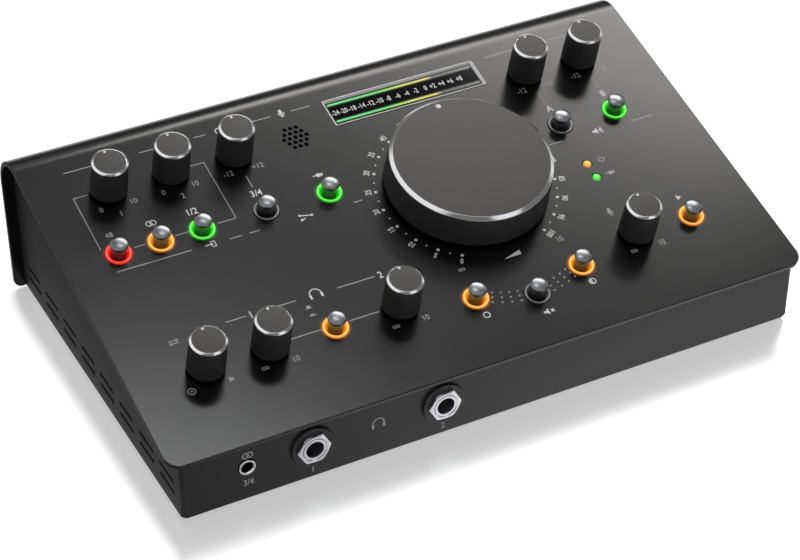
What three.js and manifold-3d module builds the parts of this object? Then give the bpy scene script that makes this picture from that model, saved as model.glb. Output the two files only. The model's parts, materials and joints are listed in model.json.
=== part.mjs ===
// Desktop monitor controller: a wedge-shaped sheet-metal box whose bent top cover carries ten rotary
// knobs, twelve push buttons in light rings, a level meter and a microphone grille.
// Units are millimetres. +X is to the right, +Y to the rear and +Z up, and the origin lies on the
// surface that the controller stands on, under the middle of its outline.
import * as THREE from "three";
import { mergeVertices } from "three/addons/utils/BufferGeometryUtils.js";
import Module from "manifold-3d";

const wasm = await Module();
wasm.setup();

const { degToRad } = THREE.MathUtils;

// Sheet-metal body
const chassisWidth = 245;
const panelLength = 141; // flat sloping part of the cover, from its front edge to the bend
const slopeAngle = degToRad(14.7);
const coverFrontHeight = 25.6; // top face of the cover at its front edge, above the tray's underside
const bendRadius = 14; // outer radius of the bend between the panel and the rear flap
const rearLean = degToRad(2); // the rear flap leans inwards towards its foot
const frontOverhang = 1.7;
const sideOverhang = 4.2;
const coverSheet = 1.8;
const traySheet = 1.2;
const coverCornerRadius = 6;
const flapCornerRadius = 3;
const trayCornerRadius = 1.6;
const trayFoldRadius = 1.5;
const reliefRadius = 1.2; // round notch where the folds meet at the tray's front corners
const reliefInset = 0.4;
const flapGroundGap = 0.2; // the flap ends this far above the tray's underside

// Clearances
const seatGap = 0.1; // between two pieces that rest on each other
const fitGap = 0.3; // round a piece that passes through a hole
const overrun = 2; // how far a cutting tool runs past the face that it cuts
const weldGap = 0.0001; // points closer than this are one point

// Side vents: columns of paired slots
const ventLength = 12.4;
const ventHeight = 1.6;
const ventPitch = 17.8;
const ventFirstY = 12.2;
const ventRearMargin = 5; // least metal between the last slot and the end of the wall
const ventRows = 2;
const ventRowPitch = 4.7;
const ventFirstZ = 7.8;

// Feet under the corners of the tray
const footHeight = 0.8;
const footRadius = 7;
const footTaper = 0.8;
const footInset = 16;

// Places on the panel, as shares of the chassis width and of the panel length
const firstColumnShare = 0.0988;
const secondColumnShare = 0.1976;
const thirdColumnShare = 0.3004;
const fourthColumnShare = 0.4037;
const volumeColumnShare = 0.6038;
const sixthColumnShare = 0.8024;
const seventhColumnShare = 0.9004;
const phantomColumnShare = 0.0665;
const stereoColumnShare = 0.1322;
const rearRowShare = 0.8589;
const frontRowShare = 0.2468;
const buttonRowShare = 0.6567;
const volumeRowShare = 0.5514;
const muteRowShare = 0.1596;
const monoRowShare = 0.2035;
const meterRowShare = 0.9092;
const powerLightRowShare = 0.5064;
const usbLightRowShare = 0.4557;
const monoOffset = 21.8; // the mono and dim buttons stand this far to each side of the mute button

// Control board, hung under the panel by its potentiometer bushings
const boardDepth = 9; // top face of the board below the panel's top face
const boardSheet = 1.6;
const boardSideMargin = 6;
const boardFrontMargin = 15;
const boardRearMargin = 12;
const potSide = 9.6;
const potHeight = 4.5;
const bushingRadius = 4.4;
const bushingProud = 0.7;
const shaftRadius = 3;
const shaftClearance = 0.2;
const capsuleRadius = 4.8;
const capsuleHeight = 5.6;
const switchSide = 4;
const switchHeight = 3.3;

// Small knobs: a tapered black body with a bright-edged metal cap
const knobTop = 15.6;
const knobLift = 1.3; // lower edge of the body above the panel
const knobFootRadius = 6.9;
const knobTaper = 0.25; // the head's radius is this much less than the foot's
const knobCapHeight = 1.2;
const knobChamferWidth = 0.8;
const knobChamferDrop = 0.55;

// Volume knob
const volumeTop = 15.8;
const volumeLift = 2;
const volumeFootRadius = 31;
const volumeTaper = 0.6;
const volumeCapHeight = 1.6;
const volumeChamferWidth = 1.5;
const volumeChamferDrop = 1.2;
const volumeWall = 2.5;
const volumeHubRadius = 7;
const volumeHubLift = 4; // lower end of the hub above the panel
const volumeCrown = 3.5; // thickness of the volume knob's body under its cap

// Push buttons and the light rings round them
const buttonStemRadius = 2.8;
const buttonCapRadius = 3.4;
const buttonCapLift = 4.4; // underside of the cap above the panel
const buttonCapEdge = 0.6;
const buttonDomeRise = 0.8;
const buttonTravel = 1.2;
const ringRadius = 4.5;
const ringBoreRadius = 3.1;
const ringProud = 0.6;
const ringRim = 0.4;
const ringFunnelDepth = 1.2;

// Level meter: a bevelled frame sunk in the panel round a smoked window
const bezelLength = 64.5;
const bezelWidth = 13.4;
const bezelProud = 0.3;
const bezelFlange = 0.3;
const bezelBevelWidth = 0.85;
const bezelBevelDepth = 0.7;
const bezelBodyDepth = 3.2;
const windowSheet = 1.2;

// Microphone grille: a six-sided field of punched holes
const grilleRings = 2;
const grillePitch = 2.32;
const grilleHoleRadius = 0.75;

// Indicator lights
const lightRadius = 1.5;
const lightProud = 0.45;

// Jack sockets for 6.35 mm plugs, with a hexagonal nut
const jackBoreRadius = 3.3;
const jackBoreDepth = 20;
const jackBushingRadius = 4.4;
const jackBushingProud = 3.5;
const jackNutCorner = 6.4;
const jackNutProud = 2.7;
const jackNutChamfer = 0.5;
const jackCollarFootRadius = 8.2;
const jackCollarRadius = 7.8;
const jackCollarProud = 1.4;
const jackCollarClearance = 0.9; // between the collar and the cover above it
const jackBodyWidth = 14;
const jackBodyHeight = 11;
const jackBodyLength = 22;
const jackWall = 1.5;

// Front stereo socket for 3.5 mm plugs
const miniBoreRadius = 1.8;
const miniBoreDepth = 12;
const miniRingRadius = 3.1;
const miniRingRim = 0.9;
const miniRingProud = 0.6;
const miniBodyWidth = 8;
const miniBodyHeight = 6.4;
const miniBodyLength = 14;

// Sockets in the rear flap, as shares of the chassis width from its left wall
const comboColumnShares = [0.14, 0.29];
const outputColumnShares = [0.47, 0.61];
const usbColumnShare = 0.77;
const inletColumnShare = 0.87;
const rearSocketHeight = 23; // axis of the rear sockets above the flap's foot
const outputPitch = 17; // between the two jacks of a monitor pair
const comboFlangeWidth = 26;
const comboFlangeHeight = 31;
const comboFlangeCorner = 2.5;
const comboFlangeSheet = 1.6;
const comboBarrelRadius = 11.8;
const comboBarrelLength = 21;
const comboShellRadius = 9.7;
const comboInsertRadius = 7.7;
const comboShellDepth = 12;
const comboInsertSink = 1.2;
const outputBodyWidth = 15;
const outputNutProud = 2.4;
const outputBushingProud = 3;
const usbWidth = 12;
const usbHeight = 11;
const usbLength = 16;
const usbWall = 1.6;
const usbDepth = 9;
const inletWidth = 11;
const inletHeight = 11;
const inletLength = 14;
const inletBoreRadius = 3.2;
const inletPinRadius = 1;
const inletDepth = 9;
const socketProud = 0.5; // how far the usb socket and the power inlet stand out of the flap

// Facets of the round pieces
const knobFacets = 22;
const volumeFacets = 44;
const buttonFacets = 12;
const buttonDomeFacets = 2;
const ringFacets = 14;
const bushingFacets = 8;
const jackFacets = 12;
const barrelFacets = 18;
const footFacets = 12;
const bendFacets = 12;
const cornerFacets = 5;
const smallCornerFacets = 2;
const grilleFacets = 6;
const ventEndFacets = 2;
const lightFacets = 10;

// Finishes
const coverFinish = { color: 0x3d3d3e, roughness: 0.35, metalness: 0.8 };
const trayFinish = { color: 0x2a2d2c, roughness: 0.5, metalness: 0.4 };
const boardFinish = { color: 0x20402c, roughness: 0.6, metalness: 0 };
const knobFinish = { color: 0x1a1a1b, roughness: 0.5, metalness: 0 };
const capFinish = { color: 0x6e6c69, roughness: 0.3, metalness: 0.9 };
const buttonFinish = { color: 0x4c4c52, roughness: 0.08, metalness: 0.6 };
const chromeFinish = { color: 0xd8d8da, roughness: 0.12, metalness: 1 };
const nickelFinish = { color: 0xb9b9bd, roughness: 0.25, metalness: 1 };
const windowFinish = { color: 0x050506, roughness: 0.06, metalness: 0 };
const socketFinish = { color: 0x141415, roughness: 0.55, metalness: 0 };
const ringColours = { red: 0xff2a22, amber: 0xffa21e, green: 0x35f02a, dark: 0x55555a };

const lit = (colour) => ({ color: colour, emissive: colour, roughness: 0.3, metalness: 0 });
const unlit = { color: ringColours.dark, roughness: 0.15, metalness: 0 };

// Geometry helpers

// A closed geometry as a solid that can be joined and cut.
function solid(geometry) {
  const bare = geometry.clone();
  bare.deleteAttribute("normal");
  bare.deleteAttribute("uv");
  const merged = mergeVertices(bare, weldGap);
  return new wasm.Manifold(
    new wasm.Mesh({
      numProp: 3,
      vertProperties: merged.attributes.position.array,
      triVerts: new Uint32Array(merged.index.array),
    }),
  );
}

function geometryOf(shape) {
  const { vertProperties, triVerts } = shape.simplify(weldGap).getMesh();
  const geometry = new THREE.BufferGeometry();
  geometry.setAttribute("position", new THREE.BufferAttribute(vertProperties, 3));
  geometry.setIndex(new THREE.BufferAttribute(triVerts, 1));
  geometry.computeVertexNormals();
  return geometry;
}

const join = (shapes) => wasm.Manifold.union(shapes);
const cut = (shape, tools) => shape.subtract(join(tools));

function addPiece(parent, name, shape, finish) {
  const material = new THREE.MeshStandardMaterial({ ...finish, flatShading: true });
  const mesh = new THREE.Mesh(geometryOf(shape), material);
  mesh.name = name;
  parent.add(mesh);
  return mesh;
}

// A solid of revolution about +Z from [radius, height] pairs.
function turned(profile, facets) {
  const points = profile.map(([radius, height]) => new THREE.Vector2(radius, height));
  return new THREE.LatheGeometry(points, facets).rotateX(Math.PI / 2);
}

const rod = (radius, from, to, facets) =>
  turned([[0, from], [radius, from], [radius, to], [0, to]], facets);

// A tool for a hole: the flats of its facets, not their corners, lie at the radius.
const bore = (radius, from, to, facets) =>
  rod(radius / Math.cos(Math.PI / facets), from, to, facets);

const block = (width, length, from, to) =>
  new THREE.BoxGeometry(width, length, to - from).translate(0, 0, (from + to) / 2);

const prism = (outline, depth) =>
  new THREE.ExtrudeGeometry(new THREE.Shape(outline), { depth, bevelEnabled: false });

// Points of an arc, both ends included.
function arc(centreX, centreY, radius, from, to, facets) {
  const points = [];
  for (let step = 0; step <= facets; step += 1) {
    const angle = from + ((to - from) * step) / facets;
    points.push(
      new THREE.Vector2(centreX + radius * Math.cos(angle), centreY + radius * Math.sin(angle)),
    );
  }
  return points;
}

// A rectangle centred on the origin with rounded corners.
function roundedRectangle(width, height, radius, facets = cornerFacets) {
  const [x, y] = [width / 2 - radius, height / 2 - radius];
  const corners = [[x, y], [-x, y], [-x, -y], [x, -y]];
  return corners.flatMap(([cornerX, cornerY], index) => {
    const start = (index * Math.PI) / 2;
    return arc(cornerX, cornerY, radius, start, start + Math.PI / 2, facets);
  });
}

// A side outline drawn in Y and Z, carried across the width.
function sideExtrusion(outline, width) {
  const alongX = new THREE.Matrix4().makeBasis(
    new THREE.Vector3(0, 1, 0),
    new THREE.Vector3(0, 0, 1),
    new THREE.Vector3(1, 0, 0),
  );
  return prism(outline, width).translate(0, 0, -width / 2).applyMatrix4(alongX);
}

// A front outline drawn in X and Z, carried rearwards from the plane y = from.
function frontExtrusion(outline, from, length) {
  return prism(outline, length).rotateX(Math.PI / 2).translate(0, from + length, 0);
}

// The tool that rounds one corner of a sheet: what lies outside a quarter circle. side is -1 for a
// left corner and 1 for a right one.
function cornerTool(radius, side, depth) {
  const outline = [
    new THREE.Vector2(-radius, -overrun),
    new THREE.Vector2(overrun, -overrun),
    new THREE.Vector2(overrun, radius),
    ...arc(-radius, radius, radius, 0, -Math.PI / 2, cornerFacets),
  ];
  for (const point of outline) point.x *= side;
  return prism(outline, depth).translate(0, 0, -depth / 2);
}

// The section of the bent cover in Y and Z, at a depth below its outer face.
const slopeAlong = new THREE.Vector2(Math.cos(slopeAngle), Math.sin(slopeAngle));
const slopeUp = new THREE.Vector2(-Math.sin(slopeAngle), Math.cos(slopeAngle));
const coverFront = new THREE.Vector2(-frontOverhang, coverFrontHeight);
const bendStart = coverFront.clone().addScaledVector(slopeAlong, panelLength);
const bendCentre = bendStart.clone().addScaledVector(slopeUp, -bendRadius);
const flapOut = new THREE.Vector2(Math.cos(rearLean), -Math.sin(rearLean));
const flapDown = new THREE.Vector2(-Math.sin(rearLean), -Math.cos(rearLean));
const flapTop = bendCentre.clone().addScaledVector(flapOut, bendRadius);
const flapLength = (flapTop.y - flapGroundGap) / Math.cos(rearLean);
const flapFoot = flapTop.clone().addScaledVector(flapDown, flapLength);

// The point where the panel, at a depth below its outer face, stands over a given y.
function panelHeightAt(y, depth) {
  const along = (y - coverFront.x + slopeUp.x * depth) / slopeAlong.x;
  return coverFront.y + along * slopeAlong.y - slopeUp.y * depth;
}

// Points of the bend, from the panel to the flap, at a depth below the cover's outer face.
const bendAt = (depth) =>
  arc(
    bendCentre.x,
    bendCentre.y,
    bendRadius - depth,
    Math.PI / 2 + slopeAngle,
    -rearLean,
    bendFacets,
  );

const moved = (point, direction, distance) => point.clone().addScaledVector(direction, distance);

// Frames of the sloping panel and of the rear flap: z is out of the metal, and y runs up the sheet
const panelFrame = new THREE.Group();
panelFrame.position.set(0, coverFront.x, coverFront.y);
panelFrame.rotation.x = slopeAngle;
panelFrame.updateMatrix();

const flapFrame = new THREE.Group();
flapFrame.position.set(0, flapFoot.x, flapFoot.y);
flapFrame.rotation.set(Math.PI / 2 - rearLean, Math.PI, 0);
flapFrame.updateMatrix();

const frontFrame = new THREE.Group();
frontFrame.rotation.x = Math.PI / 2;
frontFrame.updateMatrix();

const columnX = (share) => (share - 0.5) * chassisWidth;
const rowY = (share) => share * panelLength;
const toolIn = (frame, geometry) => solid(geometry.applyMatrix4(frame.matrix));

const jackAxisHeight =
  panelHeightAt(coverFront.x, coverSheet) - jackCollarClearance - jackCollarFootRadius;

// Controls on the panel
const knobs = [
  { name: "input_gain_1", column: firstColumnShare, row: rearRowShare },
  { name: "input_gain_2", column: secondColumnShare, row: rearRowShare },
  { name: "playback_trim", column: thirdColumnShare, row: rearRowShare },
  { name: "monitor_a_trim", column: sixthColumnShare, row: rearRowShare },
  { name: "monitor_b_trim", column: seventhColumnShare, row: rearRowShare },
  { name: "direct_monitor", column: firstColumnShare, row: frontRowShare },
  { name: "phones_1", column: secondColumnShare, row: frontRowShare },
  { name: "phones_2", column: fourthColumnShare, row: frontRowShare },
  { name: "talkback", column: sixthColumnShare, row: frontRowShare },
];
const monoStepShare = monoOffset / chassisWidth;
const buttons = [
  { name: "phantom_power", column: phantomColumnShare, row: buttonRowShare, glow: "red" },
  { name: "stereo", column: stereoColumnShare, row: buttonRowShare, glow: "amber" },
  { name: "input_1_2", column: secondColumnShare, row: buttonRowShare, glow: "green" },
  { name: "input_3_4", column: thirdColumnShare, row: buttonRowShare, glow: null },
  { name: "usb_source", column: fourthColumnShare, row: buttonRowShare, glow: "green" },
  { name: "speaker_a", column: sixthColumnShare, row: buttonRowShare, glow: null },
  { name: "speaker_b", column: seventhColumnShare, row: buttonRowShare, glow: "green" },
  { name: "phones_cue", column: thirdColumnShare, row: frontRowShare, glow: "amber" },
  { name: "mono", column: volumeColumnShare - monoStepShare, row: monoRowShare, glow: "amber" },
  { name: "mute", column: volumeColumnShare, row: muteRowShare, glow: null },
  { name: "dim", column: volumeColumnShare + monoStepShare, row: monoRowShare, glow: "amber" },
  { name: "talkback_cue", column: seventhColumnShare, row: frontRowShare, glow: "amber" },
];
const placeOf = ({ column, row }) => [columnX(column), rowY(row), 0];
const volumePlace = placeOf({ column: volumeColumnShare, row: volumeRowShare });
const grillePlace = placeOf({ column: fourthColumnShare, row: rearRowShare });
const meterPlace = placeOf({ column: volumeColumnShare, row: meterRowShare });
const lights = [
  { name: "power_light", column: sixthColumnShare, row: powerLightRowShare, glow: "amber" },
  { name: "usb_light", column: sixthColumnShare, row: usbLightRowShare, glow: "green" },
];
const frontJacks = [
  { name: "headphone_jack_1", x: columnX(secondColumnShare) },
  { name: "headphone_jack_2", x: columnX(fourthColumnShare) },
];
const miniX = columnX(firstColumnShare);
const combos = comboColumnShares.map((share, index) => ({
  name: `combo_input_${index + 1}`,
  x: -columnX(share),
}));
const outputs = outputColumnShares.map((share, index) => ({
  name: `monitor_output_${"ab"[index]}`,
  x: -columnX(share),
}));
const outputRises = [-outputPitch / 2, outputPitch / 2];
const usbX = -columnX(usbColumnShare);
const inletX = -columnX(inletColumnShare);

// Hole centres of the microphone grille: rows of three, four and five holes on a square pitch,
// each row half a pitch aside of the last.
function grilleHoles() {
  const holes = [];
  for (let q = -grilleRings; q <= grilleRings; q += 1) {
    for (let r = -grilleRings; r <= grilleRings; r += 1) {
      if (Math.abs(q + r) > grilleRings) continue;
      holes.push([(q + r / 2) * grillePitch, r * grillePitch]);
    }
  }
  return holes;
}

// The bent top cover: a sloping panel, the big bend over the rear edge and the rear flap, with
// every opening that the controls and sockets pass through.
function makeCover() {
  const outline = [
    moved(coverFront, slopeUp, -coverSheet),
    coverFront,
    ...bendAt(0),
    flapFoot,
    moved(flapFoot, flapOut, -coverSheet),
    ...bendAt(coverSheet).reverse(),
  ];
  const coverWidth = chassisWidth + 2 * sideOverhang;
  const sheet = solid(sideExtrusion(outline, coverWidth));
  const through = coverSheet + 2 * overrun;

  const tools = [];
  for (const side of [-1, 1]) {
    const edge = (side * coverWidth) / 2;
    const panelCorner = cornerTool(coverCornerRadius, side, 2 * through).translate(edge, 0, 0);
    const flapCorner = cornerTool(flapCornerRadius, side, 2 * through).translate(edge, 0, 0);
    tools.push(toolIn(panelFrame, panelCorner), toolIn(flapFrame, flapCorner));
  }
  const punch = (frame, radius, x, y, facets) => {
    const tool = bore(radius, -coverSheet - overrun, overrun, facets).translate(x, y, 0);
    tools.push(toolIn(frame, tool));
  };
  for (const knob of [...knobs.map(placeOf), volumePlace]) {
    punch(panelFrame, bushingRadius + fitGap, knob[0], knob[1], bushingFacets);
  }
  for (const button of buttons.map(placeOf)) {
    punch(panelFrame, ringRadius + fitGap, button[0], button[1], ringFacets);
  }
  for (const light of lights.map(placeOf)) {
    punch(panelFrame, lightRadius + fitGap, light[0], light[1], lightFacets);
  }
  for (const [x, y] of grilleHoles()) {
    punch(panelFrame, grilleHoleRadius, grillePlace[0] + x, grillePlace[1] + y, grilleFacets);
  }
  const meterHole = block(
    bezelLength - 2 * bezelFlange + 2 * seatGap,
    bezelWidth - 2 * bezelFlange + 2 * seatGap,
    -coverSheet - overrun,
    overrun,
  ).translate(...meterPlace);
  tools.push(toolIn(panelFrame, meterHole));

  for (const { x } of combos) {
    punch(flapFrame, comboBarrelRadius + fitGap, x, rearSocketHeight, barrelFacets);
  }
  for (const { x } of outputs) {
    for (const rise of outputRises) {
      punch(flapFrame, jackBushingRadius + fitGap, x, rearSocketHeight + rise, jackFacets);
    }
  }
  const sockets = [[usbX, usbWidth, usbHeight], [inletX, inletWidth, inletHeight]];
  for (const [x, width, height] of sockets) {
    const hole = block(width + 2 * fitGap, height + 2 * fitGap, -coverSheet - overrun, overrun);
    tools.push(toolIn(flapFrame, hole.translate(x, rearSocketHeight, 0)));
  }
  return cut(sheet, tools);
}

// The folded tray: floor, front wall and two vented side walls, open at the top and the rear.
function makeTray() {
  const depth = coverSheet + seatGap;
  const flapInside = moved(flapFoot, flapOut, -depth);
  const floorEnd = moved(flapInside, flapDown, -flapInside.y / flapDown.y);
  const outline = [
    ...arc(trayFoldRadius, trayFoldRadius, trayFoldRadius, Math.PI, 1.5 * Math.PI, cornerFacets),
    floorEnd,
    ...bendAt(depth).reverse(),
    new THREE.Vector2(0, panelHeightAt(0, depth)),
  ];
  const shell = solid(sideExtrusion(outline, chassisWidth));

  const tall = bendStart.y + bendRadius;
  const inner = chassisWidth - 2 * traySheet;
  const innerFold = trayCornerRadius - traySheet;
  const hollow = roundedRectangle(inner, 2 * tall, innerFold);
  const hollowTool = frontExtrusion(hollow, traySheet, flapTop.x + overrun);
  hollowTool.translate(0, 0, tall + traySheet);
  const tools = [solid(hollowTool)];

  const wallThrough = traySheet + 2 * overrun;
  for (const { x } of frontJacks) {
    const hole = bore(jackBushingRadius + fitGap, -wallThrough, overrun, jackFacets);
    tools.push(toolIn(frontFrame, hole.translate(x, jackAxisHeight, 0)));
  }
  const miniHole = bore(miniRingRadius + fitGap, -wallThrough, overrun, jackFacets);
  tools.push(toolIn(frontFrame, miniHole.translate(miniX, jackAxisHeight, 0)));
  for (const side of [-1, 1]) {
    const notch = bore(reliefRadius, -overrun, trayFoldRadius, jackFacets);
    const corner = side * (chassisWidth / 2 - reliefInset);
    tools.push(solid(notch.translate(corner, reliefInset, 0)));
  }

  const slotEnd = ventHeight / 2;
  const slotHalf = ventLength / 2 - slotEnd;
  const lastSlotY = floorEnd.x - ventRearMargin - ventLength / 2;
  for (let y = ventFirstY; y <= lastSlotY; y += ventPitch) {
    for (let row = 0; row < ventRows; row += 1) {
      const z = ventFirstZ + row * ventRowPitch;
      const slot = [
        ...arc(y + slotHalf, z, slotEnd, -Math.PI / 2, Math.PI / 2, ventEndFacets),
        ...arc(y - slotHalf, z, slotEnd, Math.PI / 2, 1.5 * Math.PI, ventEndFacets),
      ];
      tools.push(solid(sideExtrusion(slot, chassisWidth + 2 * overrun)));
    }
  }
  const open = cut(shell, tools);

  // The long edges of the floor and the upright front edges are rounded.
  const front = roundedRectangle(chassisWidth, 2 * tall, trayCornerRadius);
  const rounded = frontExtrusion(front, -overrun, flapTop.x + 2 * overrun).translate(0, 0, tall);
  const planLength = 2 * (flapTop.x + overrun);
  const plan = prism(roundedRectangle(chassisWidth, planLength, trayFoldRadius), 2 * tall);
  plan.translate(0, planLength / 2, -tall / 2);
  const pressed = open.intersect(solid(rounded)).intersect(solid(plan));

  const foot = [
    [0, -footHeight],
    [footRadius - footTaper, -footHeight],
    [footRadius, 0],
    [footRadius, traySheet / 2],
    [0, traySheet / 2],
  ];
  const feet = [];
  for (const x of [footInset - chassisWidth / 2, chassisWidth / 2 - footInset]) {
    for (const y of [footInset, floorEnd.x - footInset]) {
      feet.push(solid(turned(foot, footFacets).translate(x, y, 0)));
    }
  }
  return join([pressed, ...feet]);
}

// The control board with its potentiometers, switches and microphone capsule soldered on.
function makeBoard() {
  const top = -boardDepth;
  const width = chassisWidth - 2 * traySheet - 2 * boardSideMargin;
  const length = panelLength - boardFrontMargin - boardRearMargin;
  const sheet = block(width, length, top - boardSheet, top);
  sheet.translate(0, boardFrontMargin + length / 2, 0);

  // The front edge is notched over the headphone jacks.
  const notchWidth = jackBodyWidth + 4 * fitGap;
  const notchEnd = (jackBodyLength + frontOverhang) / slopeAlong.x + overrun;
  const notchLength = 2 * (notchEnd - boardFrontMargin);
  const notches = frontJacks.map(({ x }) =>
    solid(
      block(notchWidth, notchLength, top - 2 * boardSheet, top + boardSheet).translate(
        x,
        boardFrontMargin,
        0,
      ),
    ),
  );
  const pieces = [cut(solid(sheet), notches)];
  for (const place of [...knobs.map(placeOf), volumePlace]) {
    const can = block(potSide, potSide, top - boardSheet / 2, top + potHeight);
    const bushing = rod(bushingRadius, top, bushingProud, bushingFacets);
    pieces.push(solid(can.translate(...place)), solid(bushing.translate(...place)));
  }
  for (const place of buttons.map(placeOf)) {
    const body = block(switchSide, switchSide, top - boardSheet / 2, top + switchHeight);
    pieces.push(solid(body.translate(...place)));
  }
  const capsule = rod(capsuleRadius, top - boardSheet / 2, top + capsuleHeight, bushingFacets);
  pieces.push(solid(capsule.translate(...grillePlace)));

  const bores = [...knobs.map(placeOf), volumePlace].map((place) =>
    solid(
      bore(shaftRadius + shaftClearance, top + fitGap, overrun, bushingFacets).translate(...place),
    ),
  );
  return cut(join(pieces), bores);
}

// A small knob's body, tapered, with the shaft that it turns.
function makeKnobBody() {
  const head = knobTop - knobCapHeight - seatGap;
  return solid(
    turned(
      [
        [0, -boardDepth + 2 * fitGap],
        [shaftRadius, -boardDepth + 2 * fitGap],
        [shaftRadius, knobLift],
        [knobFootRadius, knobLift],
        [knobFootRadius - knobTaper, head],
        [0, head],
      ],
      knobFacets,
    ),
  );
}

// A knob's metal cap: a flat disc whose upper edge is cut to a bright chamfer.
function makeCap(radius, top, height, chamferWidth, chamferDrop, facets) {
  return solid(
    turned(
      [
        [0, top - height],
        [radius, top - height],
        [radius, top - chamferDrop],
        [radius - chamferWidth, top],
        [0, top],
      ],
      facets,
    ),
  );
}

// The volume knob's body: a shell with a hub, closed on top.
function makeVolumeBody() {
  const head = volumeTop - volumeCapHeight - seatGap;
  const ceiling = head - volumeCrown;
  return solid(
    turned(
      [
        [0, -boardDepth + 2 * fitGap],
        [shaftRadius, -boardDepth + 2 * fitGap],
        [shaftRadius, volumeHubLift],
        [volumeHubRadius, volumeHubLift],
        [volumeHubRadius, ceiling],
        [volumeFootRadius - volumeWall, ceiling],
        [volumeFootRadius - volumeWall, volumeLift],
        [volumeFootRadius, volumeLift],
        [volumeFootRadius - volumeTaper, head],
        [0, head],
      ],
      volumeFacets,
    ),
  );
}

// A push button: a stem under a domed cap.
function makeButton() {
  const stemFoot = -boardDepth + switchHeight + buttonTravel + fitGap;
  const shoulder = buttonCapLift + buttonCapEdge;
  const profile = [
    [0, stemFoot],
    [buttonStemRadius, stemFoot],
    [buttonStemRadius, buttonCapLift],
    [buttonCapRadius, buttonCapLift],
  ];
  for (const { x, y } of arc(0, 0, 1, 0, Math.PI / 2, buttonDomeFacets).slice(0, -1)) {
    profile.push([buttonCapRadius * x, shoulder + buttonDomeRise * y]);
  }
  profile.push([0, shoulder + buttonDomeRise]);
  return solid(turned(profile, buttonFacets));
}

// A light ring: a clear tube from the board to just above the panel, funnelled round its button.
function makeRing() {
  const foot = -boardDepth + seatGap;
  return solid(
    turned(
      [
        [ringBoreRadius, foot],
        [ringRadius, foot],
        [ringRadius, ringProud],
        [ringRadius - ringRim, ringProud],
        [ringBoreRadius, ringProud - ringFunnelDepth],
        [ringBoreRadius, foot],
      ],
      ringFacets,
    ),
  );
}

const windowOpening = {
  length: bezelLength - 2 * bezelFlange - 2 * bezelBevelWidth,
  width: bezelWidth - 2 * bezelFlange - 2 * bezelBevelWidth,
};

// The meter's frame: a flange on the panel, a bevel down to the window and a sleeve below it.
function makeBezel() {
  const sleeveLength = bezelLength - 2 * bezelFlange;
  const sleeveWidth = bezelWidth - 2 * bezelFlange;
  const flange = block(bezelLength, bezelWidth, seatGap, bezelProud);
  const sleeve = block(sleeveLength, sleeveWidth, -bezelBodyDepth, bezelProud);
  const windowOutline = roundedRectangle(
    windowOpening.length,
    windowOpening.width,
    bezelBevelWidth / 2,
    smallCornerFacets,
  );
  const bevelTool = new THREE.ExtrudeGeometry(new THREE.Shape(windowOutline), {
    depth: overrun,
    bevelEnabled: true,
    bevelSegments: 1,
    bevelSize: bezelBevelWidth,
    bevelThickness: bezelBevelDepth,
  }).translate(0, 0, bezelProud);
  const shaft = prism(windowOutline, 2 * bezelBodyDepth).translate(0, 0, -2 * bezelBodyDepth);
  return cut(join([solid(flange), solid(sleeve)]), [solid(bevelTool), solid(shaft)]);
}

function makeWindow() {
  const top = bezelProud - bezelBevelDepth;
  const outline = roundedRectangle(
    windowOpening.length - 2 * seatGap,
    windowOpening.width - 2 * seatGap,
    bezelBevelWidth / 2 - seatGap,
    smallCornerFacets,
  );
  return solid(prism(outline, windowSheet).translate(0, 0, top - windowSheet));
}

function makeLight() {
  return solid(
    turned(
      [
        [0, -boardDepth + seatGap],
        [lightRadius, -boardDepth + seatGap],
        [lightRadius, 0],
        [lightRadius * Math.cos(Math.PI / 4), lightProud * Math.sin(Math.PI / 4)],
        [0, lightProud],
      ],
      lightFacets,
    ),
  );
}

// A hexagonal nut whose outer corners are turned down, from the sheet out to its face.
function makeNut(from, to) {
  const hexagon = new THREE.CylinderGeometry(jackNutCorner, jackNutCorner, to - from, 6);
  hexagon.rotateX(Math.PI / 2).rotateZ(Math.PI / 6).translate(0, 0, (from + to) / 2);
  const flat = jackNutCorner * Math.cos(Math.PI / 6);
  const facing = turned(
    [
      [0, from - overrun],
      [jackNutCorner + overrun, from - overrun],
      [jackNutCorner + overrun, to - jackNutChamfer],
      [jackNutCorner, to - jackNutChamfer],
      [flat, to],
      [0, to],
    ],
    jackFacets,
  );
  return solid(hexagon).intersect(solid(facing));
}

// A jack's turned front: bushing and nut, from inside the sheet outwards.
function makeJackFront(sheet, seat, nutProud, bushingProud) {
  const bushing = rod(jackBushingRadius, -sheet - jackWall, bushingProud, jackFacets);
  return solid(bushing).add(makeNut(seat, nutProud));
}

const jackBore = (bushingProud) =>
  solid(bore(jackBoreRadius, -jackBoreDepth, bushingProud + overrun, jackFacets));

// A headphone jack: body inside the front wall, round collar and nut outside it.
function makeHeadphoneJack() {
  const inside = -traySheet - seatGap;
  const body = block(jackBodyWidth, jackBodyHeight, inside - jackBodyLength, inside);
  const collar = turned(
    [
      [0, seatGap],
      [jackCollarFootRadius, seatGap],
      [jackCollarRadius, jackCollarProud],
      [0, jackCollarProud],
    ],
    barrelFacets,
  );
  const front = makeJackFront(traySheet, jackCollarProud - seatGap, jackNutProud, jackBushingProud);
  return cut(join([solid(body), solid(collar), front]), [jackBore(jackBushingProud)]);
}

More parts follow.
